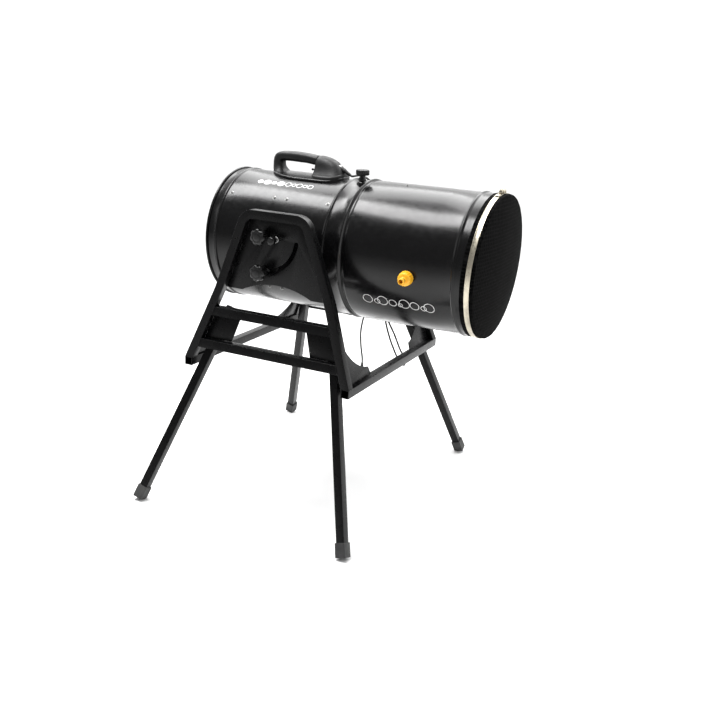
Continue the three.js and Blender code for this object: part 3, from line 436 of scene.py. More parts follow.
def smooth_path(points, step):
    """Points along a Catmull-Rom curve through the given ones, about step apart."""
    pts = [Vector(p) for p in points]
    out = []
    for i in range(len(pts) - 1):
        p0 = pts[max(i - 1, 0)] if i else pts[0] * 2 - pts[1]
        p1, p2 = pts[i], pts[i + 1]
        p3 = pts[i + 2] if i + 2 < len(pts) else pts[-1] * 2 - pts[-2]
        n = max(2, int((p2 - p1).length / step))
        # centripetal spacing keeps the curve from swinging between uneven points
        t0 = 0.0
        t1 = t0 + max((p1 - p0).length, 1e-6) ** 0.5
        t2 = t1 + max((p2 - p1).length, 1e-6) ** 0.5
        t3 = t2 + max((p3 - p2).length, 1e-6) ** 0.5
        for k in range(n):
            t = t1 + (t2 - t1) * k / n
            a1 = p0 * ((t1 - t) / (t1 - t0)) + p1 * ((t - t0) / (t1 - t0))
            a2 = p1 * ((t2 - t) / (t2 - t1)) + p2 * ((t - t1) / (t2 - t1))
            a3 = p2 * ((t3 - t) / (t3 - t2)) + p3 * ((t - t2) / (t3 - t2))
            b1 = a1 * ((t2 - t) / (t2 - t0)) + a2 * ((t - t0) / (t2 - t0))
            b2 = a2 * ((t3 - t) / (t3 - t1)) + a3 * ((t - t1) / (t3 - t1))
            out.append(b1 * ((t2 - t) / (t2 - t1)) + b2 * ((t - t1) / (t2 - t1)))
    out.append(pts[-1])
    return out


def prism(bm, outline, low, high, place=None, material=0):
    """An outline of (u, v) points given thickness from low to high; place maps (u, v, w)."""
    place = place or Matrix.Identity(4)
    a = [bm.verts.new(place @ Vector((u, v, low))) for u, v in outline]
    b = [bm.verts.new(place @ Vector((u, v, high))) for u, v in outline]
    faces = [bm.faces.new(a[::-1]), bm.faces.new(b)]
    n = len(outline)
    for i in range(n):
        faces.append(bm.faces.new((a[i], a[(i + 1) % n], b[(i + 1) % n], b[i])))
    for f in faces:
        f.material_index = material


def box(bm, low, high, place=None, material=0):
    corners = [(low[0], low[1]), (high[0], low[1]), (high[0], high[1]), (low[0], high[1])]
    prism(bm, corners, low[2], high[2], place, material)


def bead_points(x, half, height, base, steps=10):
    """A rolled bead across a drum wall, as profile points."""
    points = []
    for i in range(steps + 1):
        t = -1 + 2 * i / steps
        points.append((x + half * t, base + height * (0.5 + 0.5 * math.cos(math.pi * t)) ** 0.75))
    return points


# ---------------------------------------------------------------- mains lead, first

LEAD = [
    (86.7, 0, 967.5), (92, 0.3, 965), (99, 7, 966.4), (104, 24, 967), (106, 50, 961.5), (107, 80, 951.5),
    (108, 134, 918), (108, 180, 864), (108, 202, 814), (108, 210, 760), (107, 222, 700), (104, 230, 640),
    (104, 231, 596), (109, 229, 545), (124, 227, 490), (145, 226, 430), (172, 226, 376), (182, 227, 360),
    (190, 234, 346), (193, 250, 339), (190, 266, 346), (182, 273, 360), (168, 274, 376), (140, 274, 430),
    (112, 271, 482), (105, 263, 530), (107, 256, 556), (108, 253, 575), (101, 253, 592), (84, 253, 599),
    (67, 253, 592), (60, 253, 575), (52, 252, 540), (38, 250, 488), (28, 250, 430), (31, 250, 378),
    (38, 250, 338), (39, 250, 324), (39, 250, 318.3),
]
LEAD_R = 3.0


def build_lead():
    line = smooth_path(LEAD, 3.0)
    bm = bmesh.new()
    tube(bm, line, LEAD_R, 16)
    obj = piece("mains_lead_sheath", bm, "cord", None, ["mains_lead"], sharp=60)
    path = [P(*p) for p in line]
    length = sum((b - a).length for a, b in zip(path, path[1:]))
    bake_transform(obj)
    return obj, path, length


PLUG_AT = Vector((39, 250, 318))


def build_plug():
    bm = bmesh.new()
    profile = [(0.3, 0), (0.3, 3.4), (-0.4, 4.0)]
    for k in range(5):
        z = -2.5 - 3.8 * k
        r = 4.2 + 0.42 * k
        profile += [(z + 1.2, r), (z - 0.7, r), (z - 1.0, r - 0.9), (z - 2.0, r - 0.9)]
    profile += [(-22, 6.6), (-27, 7.2), (-27, 0)]
    lathe(bm, profile, upright(*PLUG_AT), 28)
    # moulded body: height, half width and half depth from the shoulder to the face
    rings = []
    for z, half_x, half_y in (
        (-20, 7.5, 7), (-22, 11.5, 9.5), (-27, 13.2, 10.8), (-36, 14.2, 11.6), (-46, 14.6, 12),
        (-52.5, 15, 12), (-54, 14.2, 11.2),
    ):
        ring = []
        for t in turns(32):
            c, s = squared(t, 0.55, 0.55)
            ring.append(PLUG_AT + Vector((half_x * c, half_y * s, z)))
        rings.append(ring)
    loft(bm, rings)
    # grip ribs on both broad sides
    place = Matrix.Translation(PLUG_AT)
    for s in (-11.4, 11.4):
        for k in range(4):
            z = -30 - 5 * k
            box(bm, (-8, s - 0.5, z - 1), (8, s + 0.5, z + 1), place)
    body = piece("mains_plug_body", bm, "cord", "stand", ["mains_plug"], sharp=40)
    bm = bmesh.new()
    for x in (-6.35, 6.35):
        box(bm, (x - 0.75, -3.2, -71), (x + 0.75, 3.2, -53), place)
    bmesh.ops.bevel(bm, geom=bm.edges[:], offset=0.35, segments=2, affect="EDGES")
    earth = upright(PLUG_AT.x, PLUG_AT.y - 8, PLUG_AT.z)
    lathe(bm, [(-53, 0), (-53, 2.4), (-71.5, 2.4), (-73.3, 1.7), (-74, 0)], earth, 20)
    pins = piece("mains_plug_blades", bm, "zinc", "stand", sharp=40)
    return [body, pins]


plug_pieces = build_plug()
lead, lead_path, lead_length = build_lead()


def build_gland():
    """Ribbed strain relief on the housing's nose."""
    pitch = math.radians(28)
    out = Vector((math.cos(pitch), 0, -math.sin(pitch)))
    place = placement(out, Vector((0, 1, 0)), (65, 0, AXIS_Z + 219))
    bm = bmesh.new()
    profile = [(-8, 0), (-8, 7.0), (2.5, 7.0), (3.2, 6.4), (4, 5.9)]
    for k in range(5):
        x = 5.2 + 3.6 * k
        r = 5.9 - 0.36 * k
        profile += [(x, r), (x + 1.8, r - 0.1), (x + 2.1, r - 1.0), (x + 3.1, r - 1.0)]
    profile += [(24, 4.1), (24.3, 3.5), (24.3, 0)]
    lathe(bm, profile, place, 32)
    piece("strain_relief", bm, "cord", "drum", ["cord_gland"], sharp=40)


build_gland()


# ---------------------------------------------------------------- blower drum

FAN_REAR, FAN_R, SHEET = -285.0, 195.0, 1.5


def build_blower_drum():
    bm = bmesh.new()
    outside = [(FAN_REAR + 2.5, FAN_R - SHEET)]
    outside += arc(FAN_REAR + 3.6, FAN_R + 0.6, 3.5, 200, -30, 14)
    outside += [(FAN_REAR + 9.5, FAN_R - 0.2), (FAN_REAR + 12, FAN_R)]
    outside += bead_points(-250, 6.0, 3.6, FAN_R, 14)
    outside += [(-150, FAN_R), (0, FAN_R), (120, FAN_R), (150, FAN_R)]
    lathe(bm, outside, ON_DRUM, 160)
    inside = [(150, FAN_R), (150, FAN_R - SHEET), (0, FAN_R - SHEET), (-150, FAN_R - SHEET)]
    inside += [(x, r - SHEET - 0.1) for x, r in bead_points(-250, 5.4, 3.0, FAN_R, 10)[::-1]]
    inside += [(FAN_REAR + 2.5, FAN_R - SHEET)]
    lathe(bm, inside, ON_DRUM, 160, material=1)
    piece("blower_drum_shell", bm, ["drum", "inside"], "drum", ["blower_drum"], sharp=50)


build_blower_drum()


def seam(name, x0, x1, radius, angle, body):
    """A lapped seam along a drum with a row of flat rivets."""
    bm = bmesh.new()
    steps = 6
    half = 9 / radius
    rows = []
    for x in (x0, x1):
        outer, inner = [], []
        for k in range(steps + 1):
            a = math.radians(angle) + half * (2 * k / steps - 1)
            outer.append(drum_point(x, a, radius + (1.1 if 0 < k < steps else 0.15)))
            inner.append(drum_point(x, a, radius - 0.5))
        rows.append(outer + inner[::-1])
    loft(bm, rows)
    count = max(2, int((x1 - x0) / 38))
    for k in range(count):
        x = x0 + (x1 - x0) * (k + 0.5) / count
        lathe(bm, [(0.8, 3.4), (1.7, 3.2), (2.3, 2.2), (2.5, 0)], around(angle, x, radius), 16)
    piece(name, bm, "drum", body, sharp=35)


seam("blower_drum_seam", -240, 98, FAN_R, 178, "drum")


def cross_recess_shade(bm, place, depth_at, size):
    """A raised-edge cross on a screw head in a dark material: painted shade that stands for the recess, shown
    by its steps.
    """
    for degrees in (20, 110):
        spin = turned_about(degrees, place)
        box(bm, (depth_at, -size, -size * 0.22), (depth_at + 0.12, size, size * 0.22), spin, 1)


def pan_screws(name, spots, radius, body, head=3.9):
    """Pan-head screws standing on a drum, each with a washer."""
    bm = bmesh.new()
    washer = [(-0.3, head + 1.2), (0.5, head + 1.2), (0.7, head + 1.0), (0.7, head)]
    dome = [(0.7, head), (1.3, head), (2.2, head * 0.86), (2.9, head * 0.6), (3.2, head * 0.28), (3.25, 0)]
    for x, angle in spots:
        place = around(angle, x, radius)
        lathe(bm, washer, place, 24)
        lathe(bm, dome, place, 24)
        # the cross takes the drum's black paint: painted shade for the recess
        cross_recess_shade(bm, place, 3.12, head * 0.5)
    piece(name, bm, ["screw", "drum"], body, sharp=40)


near = [(-231, 45), (-85.5, 45), (-44.6, 45), (88.8, 45), (-86, 129), (-45, 129)]
pan_screws("drum_screws", near + [(x, -a) for x, a in near], FAN_R, "drum")
pan_screws("chamber_screw", [(279, 7)], 201, "chamber", 2.8)


def build_guard():
    """Rear finger guard of bent wire, with its four tabs."""
    bm = bmesh.new()
    x = FAN_REAR + 12
    for radius in (34, 73, 112, 151, 189):
        tube(bm, [drum_point(x, -t, radius) for t in turns(96)], 2.0, 10, closed=True)
    for t in turns(8):
        tube(bm, [drum_point(x - 3.6, t + 0.2, 8 + (187 - 8) * k / 8) for k in range(9)], 1.8, 10)
    lathe(bm, [(x - 5.5, 0), (x - 5.5, 20), (x - 4.8, 21.5), (x - 2.6, 21.5), (x - 2.6, 0)], ON_DRUM, 48)
    for angle in (45, 135, 225, 315):
        place = around(angle, x, 178)
        box(bm, (0, -1.2, -9), (14.5, 1.2, 9), place)
        box(bm, (13.2, -1.2, -9), (15, 26, 9), place)
    piece("rear_guard_wire", bm, "guard", "drum", ["rear_guard"], sharp=40)


build_guard()

MOTOR_R, MOTOR_REAR, MOTOR_FRONT = 60.0, -150.0, -20.0
SHAFT_HOLE, BRACKET_LOW, BRACKET_HIGH = 7.5, -97.0, -33.0


def build_motor():
    bm = bmesh.new()
    rear, front = MOTOR_REAR, MOTOR_FRONT
    profile = [(rear - 1, 0), (rear - 1, 12), (rear, 14), (rear, 33), (rear + 3, 42), (rear + 9, 53)]
    profile += [(rear + 17, 56.5), (rear + 20, 56.5), (front - 20, 56.5), (front - 16, 56.5)]
    profile += [(front - 9, 51), (front, 34), (front, SHAFT_HOLE), (front - 6, SHAFT_HOLE), (front - 6, 0)]
    lathe(bm, profile, ON_DRUM, 64)
    for k in range(28):
        box(bm, (rear + 20, -1.3, 55), (BRACKET_LOW - 1.5, 1.3, MOTOR_R), turned_about(360 * k / 28))
    # eight dark blocks on the rear face: painted shade in place of recesses
    for k in range(8):
        box(bm, (rear - 0.6, -2.2, 20), (rear + 2, 2.2, 31), turned_about(45 * (k + 0.5)), 1)
    for k in range(4):
        t = math.radians(45 + 90 * k)
        spot = Matrix.Translation(drum_point(rear + 8, t, 44)) @ Matrix.Rotation(math.pi, 4, "Z")
        lathe(bm, [(-6, 5), (5.5, 5), (6, 4.4), (6, 0)], spot, 6)
    piece("fan_motor_housing", bm, ["casting", "recess"], "drum", ["fan_motor"], sharp=30)


build_motor()


def build_motor_bracket():
    bm = bmesh.new()
    low, high, inner = BRACKET_LOW, BRACKET_HIGH, MOTOR_R + 0.4
    lathe(bm, [(low, inner), (low, inner + 4), (high, inner + 4), (high, inner), (low, inner)], ON_DRUM, 72)
    reach = FAN_R - SHEET - 0.8
    for degrees in (45, 129, -45, -129):
        place = around(degrees, 0, 0)
        # local: u outward, v along the drum, w across
        for w in (-15, 12):
            box(bm, (inner + 3, low, w), (reach - 3, high, w + 3), place)
        box(bm, (reach - 3, low, -15), (reach, high, 15), place)
        for v in (-85.5, -44.6):
            spot = place @ Matrix.Translation((reach - 3, v, 0)) @ Matrix.Rotation(math.pi, 4, "Y")
            lathe(bm, [(0, 7.2), (5, 7.2), (5.6, 6.4), (5.6, 0)], spot, 6)
    piece("motor_bracket_plates", bm, "frame", "drum", ["motor_bracket"], sharp=30, bevel=(0.5, 2, 40))


build_motor_bracket()


def blade_point(s, u, side):
    """A point of a blade: s from root to tip, u from edge to edge, side 1 in front and -1 behind."""
    pitch = math.radians(48 - 26 * s)
    c = u * 64 * (0.8 + 0.35 * s) * (1 - 1.76 * max(0.0, s - 0.9))
    camber = 4.5 * (1 - (2 * u) ** 2) - 2.2
    n = camber + side * (1.75 - 1.125 * (2 * u) ** 2)
    return Vector((c * math.sin(pitch) - n * math.cos(pitch),
                   c * math.cos(pitch) + n * math.sin(pitch), 39 + 146 * s))


def build_impeller():
    bm = bmesh.new()
    rear, front, hub_r = -8.0, 42.0, 44.0
    profile = [(rear, 0), (rear, 18), (rear + 1, 20), (rear + 1, 40), (rear, 43), (rear + 2, hub_r)]
    profile += [(front - 10, hub_r)] + arc(front - 10, hub_r - 10, 10, 90, 25, 5)
    profile += [(front, 26), (front - 0.6, 14), (front, 10), (front, 0)]
    lathe(bm, profile, ON_DRUM, 64)
    shaft = [(MOTOR_FRONT - 4, 0), (MOTOR_FRONT - 4, 6.9), (rear + 1, 6.9), (rear + 1, 0)]
    lathe(bm, shaft, ON_DRUM, 32, material=1)
    lathe(bm, [(front - 1, 10), (front + 0.6, 9.4), (front + 0.6, 0)], ON_DRUM, 6, material=1)
    for index in range(6):
        spin = turned_about(60 * index) @ Matrix.Translation((17, 0, 0))
        sheets = []
        for side in (1, -1):
            sheets.append([[bm.verts.new(spin @ blade_point(i / 10, k / 8 - 0.5, side)) for k in range(9)]
                           for i in range(11)])
        for sheet in sheets:
            for a, b in zip(sheet, sheet[1:]):
                for k in range(8):
                    bm.faces.new((a[k], a[k + 1], b[k + 1], b[k]))
        # edges, root and tip join the two sheets
        ahead, behind = sheets
        for i in range(10):
            for k in (0, 8):
                bm.faces.new((ahead[i][k], ahead[i + 1][k], behind[i + 1][k], behind[i][k]))
        for i in (0, 10):
            for k in range(8):
                bm.faces.new((ahead[i][k], ahead[i][k + 1], behind[i][k + 1], behind[i][k]))
    piece("impeller_wheel", bm, ["dark_plastic", "steel"], "fan", ["impeller"], sharp=35)


build_impeller()


# ---------------------------------------------------------------- handle and switch housing

SADDLE_REAR, SADDLE_FRONT, SADDLE_HALF = -166.0, 72.0, 62.0


def saddle_outline(inset=0.0, steps=10):
    """The saddle's plan, rounded more at the rear."""
    points = []
    for cx, sy, long, wide, a0 in (
        (SADDLE_FRONT - 50, -1, 50, 50, -90), (SADDLE_FRONT - 50, 1, 50, 50, 0),
        (SADDLE_REAR + 110, 1, 110, 56, 90), (SADDLE_REAR + 110, -1, 110, 56, 180),
    ):
        cy = sy * (SADDLE_HALF - wide)
        for k in range(steps + 1):
            t = math.radians(a0 + 90 * k / steps)
            points.append((cx + (long - inset) * math.cos(t), cy + (wide - inset) * math.sin(t)))
    return points


def on_drum(x, y, radius):
    """A point over plan position y (measured round the drum's curve) at a radius."""
    return drum_point(x, -y / FAN_R * 1.012, radius)


def build_saddle():
    bm = bmesh.new()
    levels = [(0.0, 195.4), (0.0, 199.0), (0.5, 200.3), (1.6, 201.0), (3.2, 201.3)]
    rings = [[on_drum(x, y, radius) for x, y in saddle_outline(inset)] for inset, radius in levels]
    loops = loft(bm, rings, cap_start=False, cap_end=False)
    # top and underside follow the drum in strips that run along it
    for ring, radius in ((loops[-1], 201.3), (loops[0], 195.4)):
        lines = []
        for a, b in zip(ring[:len(ring) // 2], ring[::-1]):
            start, end = [(v.co.x, math.atan2(v.co.y, v.co.z - AXIS_Z)) for v in (a, b)]
            line = [a]
            for j in range(1, 16):
                x, t = [v + (w - v) * j / 16 for v, w in zip(start, end)]
                line.append(bm.verts.new(drum_point(x, -t, radius)))
            lines.append(line + [b])
        for a, b in zip(lines, lines[1:]):
            for j in range(16):
                bm.faces.new((a[j], a[j + 1], b[j + 1], b[j]))
    piece("handle_saddle_plate", bm, "gloss_plastic", "drum", ["handle_saddle"], sharp=45)


build_saddle()

SEAM_X = -18.0


def curve_values(stations, count):
    """Rows of numbers run smoothly through the stations, count rows per span."""
    rows = []
    for i in range(len(stations) - 1):
        a = stations[max(i - 1, 0)]
        b, c = stations[i], stations[i + 1]
        d = stations[min(i + 2, len(stations) - 1)]
        for k in range(count):
            t = k / count
            row = []
            for p, q, r, s in zip(a, b, c, d):
                square, cube = 2 * p - 5 * q + 4 * r - s, 3 * q - p - 3 * r + s
                row.append(0.5 * (2 * q + (r - p) * t + square * t * t + cube * t ** 3))
            rows.append(row)
    rows.append(list(stations[-1]))
    return rows


def build_grip():
    # outer x, outer z, inner x, inner z, half width
    stations = [
        (-164, 955.6, -119, 955.6, 33), (-165.5, 960, -125, 960, 30), (-168.0, 967, -131.5, 966.5, 25),
        (-169.6, 976, -136, 975, 21), (-170, 987, -137, 983.5, 19), (-168, 1000, -136.6, 987.6, 18.6),
        (-160, 1011.5, -133, 990, 18.8), (-143, 1018, -126, 990.8, 19), (-118, 1020, -114, 991, 19.2),
        (-88, 1020.4, -88, 990.6, 19.2), (-52, 1018.4, -52, 989.4, 19.4),
        (SEAM_X - 0.4, 1014.6, SEAM_X - 0.4, 985.4, 20),
    ]
    rings = []
    for ox, oz, ix, iz, w in curve_values(stations, 5):
        outer, inner = Vector((ox, 0, oz)), Vector((ix, 0, iz))
        mid, half = (outer + inner) / 2, (outer - inner) / 2
        ring = []
        for t in turns(36):
            # the top is rounder than the underside, where the fingers lie
            c, s = squared(t, 0.78 if math.cos(t) > 0 else 0.68, 0.78)
            ring.append(mid + half * c + Vector((0, w * s, 0)))
        rings.append(ring)
    bm = bmesh.new()
    loft(bm, rings)
    piece("handle_grip_moulding", bm, "plastic", "drum", ["handle_grip"], sharp=50)


build_grip()


# x, height of the ridge, half width
HOUSING = [
    (-18.0, 1012.5, 29.0), (-16.6, 1014.2, 30.6), (-10, 1015.6, 31.6), (2, 1015.0, 32.4), (15, 1012.6, 33),
    (28, 1008.6, 33), (40, 1002.4, 31.8), (50, 994.6, 29), (58, 985.6, 25), (63.5, 977, 20),
    (66.6, 970, 14.5), (68, 963, 8),
]
HOUSING_FOOT = 955.0


def housing_ring(x, top, half):
    """Arch across the housing at x: flat below, round above, widening towards its foot."""
    ring = []
    for k in range(29):
        c, s = squared(math.pi * k / 28, 0.8, 0.8)
        z = HOUSING_FOOT + (top - HOUSING_FOOT) * abs(s)
        flare = 17.0 * max(0.0, 1 - (z - HOUSING_FOOT) / 34.0) ** 2
        ring.append(Vector((x, half * c + math.copysign(flare, c), z)))
    return ring


def on_ridge(x):
    """Placement on the housing's ridge at x, its local X along the ridge and Z out of it."""
    rows = curve_values(HOUSING, 12)
    before, here, after = [min(rows, key=lambda r: abs(r[0] - at))[1] for at in (x - 2, x, x + 2)]
    slope = math.atan2(after - before, 4.0)
    return Matrix.Translation((x, 0, here)) @ Matrix.Rotation(-slope, 4, "Y")


def build_housing():
    bm = bmesh.new()
    loft(bm, [housing_ring(*row) for row in curve_values(HOUSING, 4)])
    piece("switch_housing_shell", bm, "plastic", "drum", ["switch_housing"], sharp=50)

    # skirt round the foot of the housing, a shade wider, so that the joint shows as a step
    bm = bmesh.new()
    saddle_r = 201.2
    rings = []
    for z, half, grow in (
        (954.5, 58, 1.2), (963.0, 57.4, 1.1), (967.4, 56.2, 0.8), (969.0, 54.0, 0.2), (969.4, 50.5, -1.6),
    ):
        ring = []
        for t in turns(64):
            nose = math.cos(t) > 0
            c, s = squared(t, 0.72 if nose else 0.3, 0.72 if nose else 0.6)
            drop = saddle_r - math.sqrt(saddle_r ** 2 - (half * s) ** 2)
            ring.append(Vector((25.0 + (44.5 + grow) * c, half * s, z - 0.96 * drop)))
        rings.append(ring)
    loft(bm, rings)
    piece("switch_housing_skirt", bm, "plastic", "drum", sharp=50)

    # parting line along the top and vent slots in the nose, as thin dark strips: painted shade for the slots,
    # a dark joint for the parting line
    bm = bmesh.new()
    for x, width in ((43.5, 15), (48.0, 14), (58.5, 10.5)):
        place = on_ridge(x)
        rows = []
        for w in (-1.0, 1.0):
            across = [width * (k / 4 - 1) for k in range(9)]
            rows.append([bm.verts.new(place @ Vector((w, v, 0.35 - 0.55 * v * v / 60))) for v in across])
        a, b = rows
        for k in range(8):
            bm.faces.new((a[k], a[k + 1], b[k + 1], b[k]))
    piece("housing_slots", bm, "recess", "drum", sharp=60)

    # a small white oval on the ridge: a painted highlight where glints show
    bm = bmesh.new()
    oval = [(2.755 * math.cos(t), 7.5 * math.sin(t)) for t in turns(24)]
    prism(bm, oval, -1.0, 0.9, Matrix.Translation((0, 0, -0.4)) @ on_ridge(53.2))
    piece("housing_painted_glint", bm, "print", "drum", sharp=30, bevel=(0.35, 2, 40))

    # two screws that close the housing, on its far side
    bm = bmesh.new()
    for x in (-6, 44):
        place = outwards(x, 984, far=True)
        lathe(bm, [(30, 3.4), (33.6, 3.4), (34.1, 3.0), (34.2, 0)], place, 20)
        # dark cross: painted shade for the recess
        cross_recess_shade(bm, place, 34.15, 1.9)
    piece("housing_screws", bm, ["steel", "recess"], "drum", sharp=40)


build_housing()


def build_button():
    bm = bmesh.new()
    profile = [(-42, 0), (-42, 2.1), (-41.6, 3.0), (-40.6, 3.5), (-38.0, 3.5), (-37.2, 2.7), (-36.4, 2.4)]
    profile += [(-6, 2.4), (-6, 0)]
    lathe(bm, profile, Matrix.Translation((0, 0, AXIS_Z + 213)), 24)
    piece("switch_button_pin", bm, "plastic", "button", ["switch_button"], sharp=40)


build_button()


# ---------------------------------------------------------------- foam chamber

SLEEVE_R, CHAMBER_R, MOUTH, BAND_X, FRONT_BEAD_X = 198.0, 201.0, 559.0, 543.0, 500.0
MOUTH_LEAN = 0.038      # the mouth's plane runs forwards this much for each mm of height
THUMB_X, THUMB_Y = 148.0, -45.0
SLEEVE_TOP = AXIS_Z + math.sqrt(SLEEVE_R ** 2 - THUMB_Y ** 2)     # under the thumb screw


def lean_forward(bm, full=-1e3, none=-2e3):
    """Leans what is at the mouth as the mouth's plane leans, fading out from x = full to x = none."""
    for v in bm.verts:
        share = min(1.0, max(0.0, (v.co.x - none) / (full - none)))
        v.co.x += share * MOUTH_LEAN * (v.co.z - AXIS_Z)


def build_chamber():
    bm = bmesh.new()
    wall = CHAMBER_R - SHEET
    outside = [(100, SLEEVE_R - SHEET), (100, SLEEVE_R)]
    outside += bead_points(106.5, 5.2, 3.8, SLEEVE_R, 12)
    outside += [(130, SLEEVE_R)]
    outside += bead_points(161, 6.4, 6.4, SLEEVE_R, 14)
    outside += [(169.5, SLEEVE_R + 0.1), (173, SLEEVE_R + 0.8), (176.5, CHAMBER_R - 0.6), (180, CHAMBER_R)]
    outside += [(300, CHAMBER_R), (420, CHAMBER_R)]
    outside += bead_points(FRONT_BEAD_X, 6.0, 3.6, CHAMBER_R, 12)
    outside += [(FRONT_BEAD_X + 8, CHAMBER_R), (MOUTH, CHAMBER_R), (MOUTH, wall)]
    lathe(bm, outside, ON_DRUM, 160)
    inside = [(MOUTH, wall), (420, wall), (180, wall), (170, SLEEVE_R - SHEET), (100, SLEEVE_R - SHEET)]
    lathe(bm, inside, ON_DRUM, 160, material=1)
    lean_forward(bm, MOUTH, FRONT_BEAD_X + 8)
    # boss of the thumb screw, its foot following the sleeve
    rings = []
    for dz, r in ((-3, 16.5), (1.5, 15.4), (3.5, 14.2), (6.2, 11.6), (7, 10.6), (7, 4.4)):
        ring = []
        for t in turns(40):
            x, y = THUMB_X + r * math.cos(t), THUMB_Y + r * math.sin(t)
            foot = AXIS_Z + math.sqrt(SLEEVE_R ** 2 - y * y)
            ring.append(Vector((x, y, (foot if dz < 2 else SLEEVE_TOP) + dz)))
        rings.append(ring)
    loft(bm, rings, cap_start=False, cap_end=False)
    piece("foam_chamber_shell", bm, ["drum", "inside"], "chamber", ["foam_chamber"], sharp=50)


build_chamber()
seam("foam_chamber_seam", 190, 489, CHAMBER_R, 178, "chamber")


def build_thumb_screw():
    bm = bmesh.new()
    place = upright(THUMB_X, THUMB_Y, SLEEVE_TOP)
    stem = [(0, 0), (0, 3.9), (8.2, 3.9), (8.2, 11.2), (9.0, 11.8), (12, 11.4), (16, 9.4), (20, 8.4)]
    stem += [(23.5, 8.4), (24, 9.4)]
    lathe(bm, stem, place, 40)
    grooved = [(24, 9.4, 0), (24.6, 16.8, 0.2), (25.8, 18.6, 0.9), (27, 19.4, 1.3), (37.2, 19.4, 1.3)]
    grooved += [(38.8, 18.6, 0.8), (39.7, 17.0, 0.2)]
    lobed(bm, place, grooved, 120, flutes(20, 3))
    lathe(bm, [(39.7, 17.0), (40.4, 15.2), (41.2, 10), (41.8, 5), (42, 0)], place, 120)
    piece("thumb_screw_knob", bm, "gloss_plastic", "thumb_screw", ["thumb_screw"], sharp=45)


build_thumb_screw()


def gathers(t):
    """Small uneven folds round the rim."""
    return math.sin(34 * t + 1.4 * math.sin(5 * t))


def build_cover():
    """Mesh stretched over the mouth: bulged face, hem under the clamp band, small gathers at the rim."""
    bm = bmesh.new()
    sides, count = 192, 22
    rings = []
    for i in range(count + 1):
        s = i / count
        bulge = MOUTH + 1.2 + 17.4 * (1 - s ** 2.3)
        ring = []
        for t in turns(sides):
            gather = 0.5 * max(0.0, (s - 0.86) / 0.14) * gathers(t)
            spot = Vector((2.2 * s * math.sin(t), 2.2 * s * math.cos(t), 3.1))
            dent = 0.9 * noise.noise(spot) * (1 - s ** 4)
            ring.append(drum_point(bulge + gather + dent, t, 199.2 * s))
        rings.append(ring)
    for x, r in (
        (MOUTH + 0.9, 201.2), (MOUTH - 0.8, 202.1), (MOUTH - 4, 202.4), (BAND_X + 8, 202.3),
        (BAND_X - 8, 202.3), (BAND_X - 12, 202.4), (BAND_X - 20.5, 202.3),
    ):
        free = 1.0 if x < BAND_X - 8 or x > BAND_X + 8 else 0.0
        ring = []
        for t in turns(sides):
            fray = noise.noise(Vector((6 * math.sin(t), 6 * math.cos(t), 0.5)))
            along = x + 0.8 * fray if x < BAND_X - 20 else x
            ring.append(drum_point(along, t, r + free * 0.25 * gathers(t)))
        rings.append(ring)
    first = loft(bm, rings[1:], cap_start=False, cap_end=False)[0]
    hub = bm.verts.new(rings[0][0])
    for k in range(sides):
        bm.faces.new((hub, first[k], first[(k + 1) % sides]))
    lean_forward(bm)
    return piece("mesh_cover_cloth", bm, "mesh", "chamber", ["mesh_cover"], sharp=70)


cover = build_cover()
cover_area = sum(f.area for f in cover.data.polygons)
side = round(math.sqrt(cover_area / (math.pi / 4)), 3)

BAND_OUT = CHAMBER_R + 0.5 + 1 + 0.3 + 1.5
WORM_Z = AXIS_Z + BAND_OUT + 6
WORM_X = BAND_X + MOUTH_LEAN * (WORM_Z - AXIS_Z)


def build_clamp():
    """Worm-drive band: strip with rolled edges, slots near the housing drawn as thin dark strips of painted
    shade, stamped housing.
    """
    bm = bmesh.new()
    inner, outer = CHAMBER_R + 1.75, BAND_OUT
    low, high = BAND_X - 7, BAND_X + 7
    profile = [(low, inner), (low, outer - 0.3), (low + 0.3, outer), (low + 1.6, outer)]
    profile += [(low + 2.2, outer - 0.35), (high - 2.2, outer - 0.35), (high - 1.6, outer)]
    profile += [(high - 0.3, outer), (high, outer - 0.3), (high, inner), (low, inner)]
    lathe(bm, profile, ON_DRUM, 192)
    # dark strips on the band: painted shade in place of its slots
    for k in range(26):
        place = turned_about(-10, around(-6 - 0.95 * k, BAND_X, outer - 0.36))
        box(bm, (0, -3.7, -0.75), (0.12, 3.7, 0.75), place, 1)
    # free end of the strip past the housing
    rows = []
    for i in range(13):
        a = math.radians(4 + 9 * i / 12)
        r = outer + 0.3 + 1.1 * (i / 12) ** 2
        section = ((-6.2, 0), (6.2, 0), (6.2, 0.8), (-6.2, 0.8))
        rows.append([drum_point(BAND_X + v, a, r + h) for v, h in section])
    loft(bm, rows)
    # housing: base plate, barrel and ears
    top = AXIS_Z + outer
    box(bm, (BAND_X - 7.6, -13, top - 0.4), (BAND_X + 7.6, 13, top + 0.9))
    barrel = [(-11.5, 4.0), (-11.5, 6.0), (-10.8, 6.3), (10.8, 6.3), (11.5, 6.0), (11.5, 4.0), (-11.5, 4.0)]
    lathe(bm, barrel, outwards(BAND_X, WORM_Z), 28)
    for x in (BAND_X - 6.9, BAND_X + 6.9):
        for y in (-8, 8):
            box(bm, (x - 0.7, y - 2.6, top), (x + 0.7, y + 2.6, top + 4.5))
    lean_forward(bm)
    piece("clamp_band", bm, ["zinc", "recess"], "chamber", ["hose_clamp"], sharp=38)


build_clamp()


